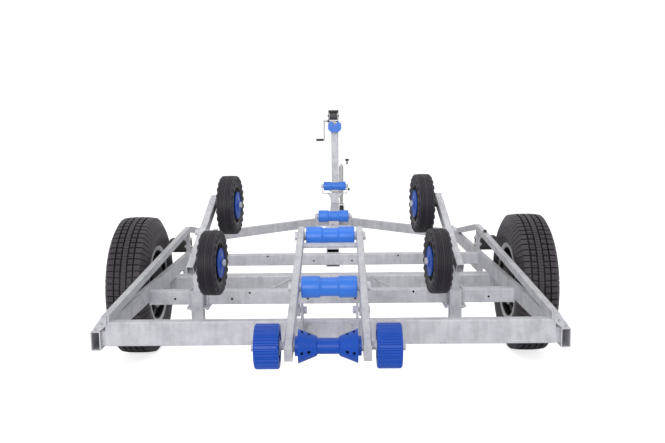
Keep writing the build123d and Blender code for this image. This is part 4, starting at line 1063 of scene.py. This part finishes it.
# fasteners: kind, axis, across, height, whether the other side has them too, places of (x, station, z)
FASTENERS = (
    # the winch post's plate
    ("bolt", (0, 0, 1), 19, 10, True, ((46, 4000, 427), (46, 4120, 427))),
    # the coupling's sides
    ("bolt", (1, 0, 0), 19, 11, True, ((35, 4925, 389), (35, 4975, 389))),
    # the rocker bracket's plate
    ("bolt", (0, -1, 0), 17, 9, True, ((70, -1006, 384), (70, -1006, 352))),
    # the guard rail's post
    ("nut", (0, 0, 1), 17, 12, True, ((795.5, 462, 404), (795.5, 518, 404))),
    ("nut", (-1, 0, 0), 15, 10, True, ((785.5, 490, 432), (785.5, 490, 470))),
    ("bolt", (1, 0, 0), 15, 9, True, ((805.5, 490, 432), (805.5, 490, 470))),
    # the axle's mounting rail
    ("bolt", (0, 0, -1), 17, 10, True, ((796, 330, 338), (796, 600, 292))),
    # the steps
    ("bolt", (1, 0, 0), 13, 8, True, ((812, 585, 360), (812, 625, 360))),
    # the cradles
    ("bolt", (0, 0, 1), 19, 10, False, ((0, 1172, 453), (0, 2922, 502))),
    # the jockey wheel's clamp
    ("bolt", (0, -1, 0), 15, 9, False, ((64, 4742, 360), (64, 4742, 390))),
)
UP, BACK, RIGHT = Vector((0, 0, 1)), Vector((0, -1, 0)), Vector((1, 0, 0))
# the wheel bolts' count, circle and seat, the painted shade discs in the crossbeams' holes and the rail's
# knob, in millimetres
WHEEL_BOLTS, BOLT_CIRCLE, BOLT_SEAT, BOLT_WIDE, BOLT_HIGH = 5, 49, 20, 19, 15
BEAM_SHADE_DISC_WIDE, BEAM_SHADE_DISC_SUNK, BEAM_SHADE_DISC_HIGH = 9.9, 2, 1
RAIL_KNOB, RAIL_KNOB_WIDE, RAIL_KNOB_HIGH = (795, 291, 526), 20, 15


class TRAILER_OT_fasteners(bpy.types.Operator):
    """Bolts, nuts, wheel bolts and the small knob on the guard rail"""

    bl_idname = "trailer.fasteners"
    bl_label = "Fasteners"

    def execute(self, context):
        for kind in ("bolt", "nut"):
            places = []
            for row, (x, y, z), across, high, both, seats in FASTENERS:
                for seat in seats if row == kind else ():
                    for sign in (1, -1) if both else (1,):
                        at = spot(seat[0] * sign, *seat[1:])
                        places.append((at, Vector((x * sign, y, z)), across * MM, high * MM))
            scattered(f"frame_{kind}s", places, kind, FIXED, "zinc")
        for side, sign in SIDES:
            body = f"wheel_{side}"
            ring = []
            for k in range(WHEEL_BOLTS):
                angle = tau * k / WHEEL_BOLTS
                y, z = BOLT_CIRCLE * MM * cos(angle), BOLT_CIRCLE * MM * sin(angle)
                place = Vector((BOLT_SEAT * MM * sign, y, z))
                ring.append((place, RIGHT * sign, BOLT_WIDE * MM, BOLT_HIGH * MM))
            scattered(f"wheel_bolts_{side}", ring, "bolt", body, "zinc", place_of(body))
        # painted shade: dark discs just inside the crossbeams' holes, standing for the shade inside the beams
        holes = []
        for (rear, _, _, top), row in zip(CROSSBEAMS, BEAM_HOLES):
            for x, low in row:
                at = spot(x, rear + BEAM_SHADE_DISC_SUNK, top - low)
                holes.append((at, BACK, BEAM_SHADE_DISC_WIDE * MM, BEAM_SHADE_DISC_HIGH * MM))
        scattered("crossbeam_holes", holes, "disc", FIXED, "black_plastic", look="hollow")
        knob = [(spot(*RAIL_KNOB), UP, RAIL_KNOB_WIDE * MM, RAIL_KNOB_HIGH * MM)]
        scattered("rail_knob", knob, "knob", FIXED, "black_plastic")
        return {"FINISHED"}


# ---- winch and jockey wheel
PIN_BORE = 0.00805         # of the drum and the jockey wheel
# profiles: across, radius
FLANGES = ((-0.054, -0.050), (0.026, 0.030))
FLANGE_RADIUS = 0.046
# the strap's turns lie a little out of line
STRAP_START, STRAP_END, STRAP_EDGE = -0.050, 0.026, 0.040
STRAP_TURNS, STRAP_FIRST, STRAP_PITCH, STRAP_RADIUS, STRAP_UNEVEN = 18, -0.048, 0.004, 0.0412, 0.0006
KEEPER = [(-0.050, 0.0072), (-0.050, 0.010), (0.012, 0.010), (0.012, 0.0072)]
KEEPER_PLACE = (0, 4034, 1122)
GRIP_START, GRIP_END, GRIP_RADIUS, GRIP_WAIST = -0.1905, -0.1135, 0.0125, 0.0115
# the grip's ribs: how many, the first, their pitch, and where the waist beside one starts and ends
GRIP_RIBS, RIB_FIRST, RIB_STEP, WAIST_START, WAIST_END = 5, -0.186, 0.0140, 0.0035, 0.0095
GRIP_PLACE = (0, 4122, 938)
KNOB_PLACE = (130, 4770, 657)
SCREW_PLACE, SCREW_WIDE, SCREW_HIGH = (138, 4770, 375), 0.034, 0.0195
# the jockey wheel's knob: height, radius
JOCKEY_KNOB = [
    (0.0012, 0.0), (0.0012, 0.0098), (0.015, 0.0072), (0.031, 0.0072), (0.0395, 0.0248), (0.0505, 0.0228),
    (0.0567, 0.0130), (0.0567, 0.0),
]
# half of its wheel's profiles: across, radius
JOCKEY_TYRE = [(0.017, 0.100), (0.025, 0.091), (0.025, 0.080), (0.0215, 0.074)]
JOCKEY_DISC = [(0.0205, 0.0745), (0.008, 0.068), (0.008, 0.029), (0.025, 0.024), (0.025, PIN_BORE)]


def both_halves(half):
    """A profile from its right half."""
    return [(-x, r) for x, r in reversed(half)] + half


class TRAILER_OT_winch(bpy.types.Operator):
    """Strap, keeper roller and the crank's grip"""

    bl_idname = "trailer.winch"
    bl_label = "Winch"

    def execute(self, context):
        drum = Matrix.Translation(Vector(JOINTS["winch_drum"]["pos_m"]))
        flanges = (
            [(a, PIN_BORE), (a, FLANGE_RADIUS), (b, FLANGE_RADIUS), (b, PIN_BORE)] for a, b in FLANGES
        )
        flange = joined(*(lathe(rounded(profile, 0.001, 2), 48) for profile in flanges))
        placed("winch_flanges", flange, drum, "winch_drum", "zinc")
        strap = [(STRAP_START, PIN_BORE), (STRAP_START, STRAP_EDGE)]
        for k in range(STRAP_TURNS):
            strap.append((STRAP_FIRST + STRAP_PITCH * k, STRAP_RADIUS + STRAP_UNEVEN * (k % 3)))
        strap += [(STRAP_END, STRAP_EDGE), (STRAP_END, PIN_BORE)]
        placed("winch_strap", lathe(strap, 48), drum, "winch_drum", "strap", "winch_drum")
        keeper = lathe(rounded(KEEPER, 0.001, 2), 32)
        at = Matrix.Translation(spot(*KEEPER_PLACE))
        placed("strap_keeper", keeper, at, FIXED, "black_plastic", look="pale_plastic")
        grip = [(GRIP_START, 0.0), (GRIP_START, GRIP_RADIUS)]
        for k in range(GRIP_RIBS):
            x = RIB_FIRST + RIB_STEP * k
            grip += [(x, GRIP_RADIUS), (x + WAIST_START, GRIP_WAIST), (x + WAIST_END, GRIP_WAIST)]
        grip += [(GRIP_END, GRIP_RADIUS), (GRIP_END, 0.0)]
        at = Matrix.Translation(spot(*GRIP_PLACE))
        placed("crank_grip", lathe(grip, 28), at, "winch_crank", "black_plastic")
        return {"FINISHED"}


class TRAILER_OT_jockey(bpy.types.Operator):
    """The jockey wheel's knob, screw handle and tyred wheel"""

    bl_idname = "trailer.jockey"
    bl_label = "Jockey wheel"

    def execute(self, context):
        knob = upright(rounded(JOCKEY_KNOB, 0.002, 3), 32)
        at = Matrix.Translation(spot(*KNOB_PLACE))
        placed("jockey_knob", knob, at, FIXED, "black_plastic")
        screw = [(spot(*SCREW_PLACE), RIGHT, SCREW_WIDE, SCREW_HIGH)]
        scattered("screw_knob", screw, "knob", FIXED, "black_plastic")
        body = "jockey_wheel"
        at = place_of(body)
        tyre, disc = (lathe(rounded(both_halves(half), 0.003, 3), 56) for half in (JOCKEY_TYRE, JOCKEY_DISC))
        placed("jockey_tyre", tyre, at, body, "side_tyre", body)
        placed("jockey_disc", disc, at, body, "black_plastic")
        return {"FINISHED"}


# ---- finishes of the carried nodes
class TRAILER_OT_finishes(bpy.types.Operator):
    """Procedural finishes on every carried node"""

    bl_idname = "trailer.finishes"
    bl_label = "Finishes"

    def execute(self, context):
        for name, piece in frame["nodes"].items():
            piece.data.materials.clear()
            piece.data.materials.append(finish(SLOT_FINISH[NODE_SLOT[name]]))
        return {"FINISHED"}


# ---- stage
CAMERA_PLACE = (0.0352, -5.464, 1.0909)
CAMERA_PITCH, CAMERA_ROLL, CAMERA_YAW = 0.1284, 0.0101, -0.0088
FOCAL_PIXELS, PICTURE_WIDTH, SENSOR = 750, 665, 36
CLIP_END = 200
FLOOR_HALF = 60
FLOOR_GLOW = 0.72
# lamp: place, aim, size, share of the key light's power
LAMPS = (
    ("key", (-3.0, -20.0, 4.5), (0, 0, 0.5), 9.0, 1),
    ("side", (5.5, -8.0, 2.6), (0, -0.5, 0.5), 3.5, 0.02),
    ("top", (0, 1.5, 6.5), (0, 1.5, 0), 6.0, 0.02),
    ("middle", (0, -2.7, 2.9), (0, 1.8, 0.4), 1.8, 0.018),
)


def camera_matrix():
    """The camera's place and turn."""
    sp, cp, sr, cr, sy, cy = (f(a) for a in (CAMERA_PITCH, CAMERA_ROLL, CAMERA_YAW) for f in (sin, cos))
    level = Vector((cy, -sy, 0))
    above = Vector((sy * sp, cy * sp, cp))
    ahead = Vector((sy * cp, cy * cp, -sp))
    turn = Matrix((level * cr - above * sr, level * sr + above * cr, -ahead)).transposed().to_4x4()
    return Matrix.Translation(CAMERA_PLACE) @ turn


def by_ray(tree, other, seen, *more):
    """One shader for the camera's rays and those of the named kinds, and another for the rest."""
    rays = tree.nodes.new("ShaderNodeLightPath").outputs
    mask = rays["Is Camera Ray"]
    for kind in more:
        mask = maths(tree, "MAXIMUM", mask, rays[kind])
    return add(tree, "ShaderNodeMixShader", i0=mask, i1=other.outputs[0], i2=seen.outputs[0]).outputs[0]


class TRAILER_OT_studio(bpy.types.Operator):
    """Floor, soft light, world and camera"""

    bl_idname = "trailer.studio"
    bl_label = "Studio"

    def paper(self, colour):
        """The floor's paper: matt, with its shadows lifted for the camera alone."""
        material, tree, shader = blank("floor_paper")
        feed(tree, shader, Base_Color=(*colour, 1), Roughness=1.0, Specular_IOR_Level=0.0)
        glow = add(tree, "ShaderNodeEmission", Color=(1, 1, 1, 1), Strength=FLOOR_GLOW)
        lifted = add(tree, "ShaderNodeAddShader", i0=shader.outputs[0], i1=glow.outputs[0])
        feed(tree, tree.nodes["Material Output"], Surface=by_ray(tree, shader, lifted))
        return material

    def execute(self, context):
        own = chosen("trailer_studio")
        scene = context.scene
        camera = bpy.data.objects.new("camera", bpy.data.cameras.new("camera"))
        camera.data.sensor_width = SENSOR
        camera.data.lens = FOCAL_PIXELS / PICTURE_WIDTH * SENSOR
        camera.data.clip_end = CLIP_END
        camera.matrix_world = camera_matrix()
        scene.collection.objects.link(camera)
        scene.camera = camera

        corners = [(x * FLOOR_HALF, y * FLOOR_HALF, 0) for x, y in ((-1, -1), (1, -1), (1, 1), (-1, 1))]
        mesh = bpy.data.meshes.new("floor")
        mesh.from_pydata(corners, [], [(0, 1, 2, 3)])
        floor = new_object("floor", mesh, self.paper(own.floor))

        for name, place, aim, wide, share in LAMPS:
            lamp = bpy.data.lights.new(name, "AREA")
            lamp.size = wide
            lamp.energy = own.key * share
            light = bpy.data.objects.new(name, lamp)
            light.location = place
            light.rotation_euler = (Vector(aim) - Vector(place)).to_track_quat("-Z", "Y").to_euler()
            scene.collection.objects.link(light)

        world = bpy.data.worlds.new("studio")
        world.use_nodes = True
        scene.world = world
        tree = world.node_tree
        tree.nodes.clear()
        ambient = add(tree, "ShaderNodeBackground", Color=(1, 1, 1, 1), Strength=own.fill)
        backdrop = add(tree, "ShaderNodeBackground", Color=(1, 1, 1, 1), Strength=1.0)
        add(tree, "ShaderNodeOutputWorld", Surface=by_ray(tree, ambient, backdrop, "Is Glossy Ray"))
        scene.view_settings.view_transform = "Standard"
        return {"FINISHED"}


# ---- panel and run
OPERATORS = (
    TRAILER_OT_finishes,
    TRAILER_OT_road_tyres,
    TRAILER_OT_side_wheels,
    TRAILER_OT_rollers,
    TRAILER_OT_welds,
    TRAILER_OT_fasteners,
    TRAILER_OT_winch,
    TRAILER_OT_jockey,
    TRAILER_OT_studio,
)


class TRAILER_PT_panel(bpy.types.Panel):
    """Lists the trailer's sizes, colours and pieces"""

    bl_idname = "TRAILER_PT_panel"
    bl_label = "Trailer"
    bl_space_type = "VIEW_3D"
    bl_region_type = "UI"
    bl_category = "Trailer"

    def draw(self, context):
        for name, group in GROUPS.items():
            box = self.layout.box()
            for key in group.__annotations__:
                box.prop(getattr(context.scene, name), key)
        for operator in OPERATORS:
            self.layout.operator(operator.bl_idname)


CLASSES = (*GROUPS.values(), *OPERATORS, TRAILER_PT_panel)


def register():
    """Registers the classes and their values."""
    for kind in CLASSES:
        bpy.utils.register_class(kind)
    for name, group in GROUPS.items():
        setattr(bpy.types.Scene, name, bpy.props.PointerProperty(type=group))


def unregister():
    """Removes the classes and their values."""
    for name in GROUPS:
        delattr(bpy.types.Scene, name)
    for kind in reversed(CLASSES):
        bpy.utils.unregister_class(kind)


def main():
    """Builds every piece in order."""
    register()
    for operator in OPERATORS:
        family, name = operator.bl_idname.split(".")
        getattr(getattr(bpy.ops, family), name)()


if __name__ == "__main__":
    main()
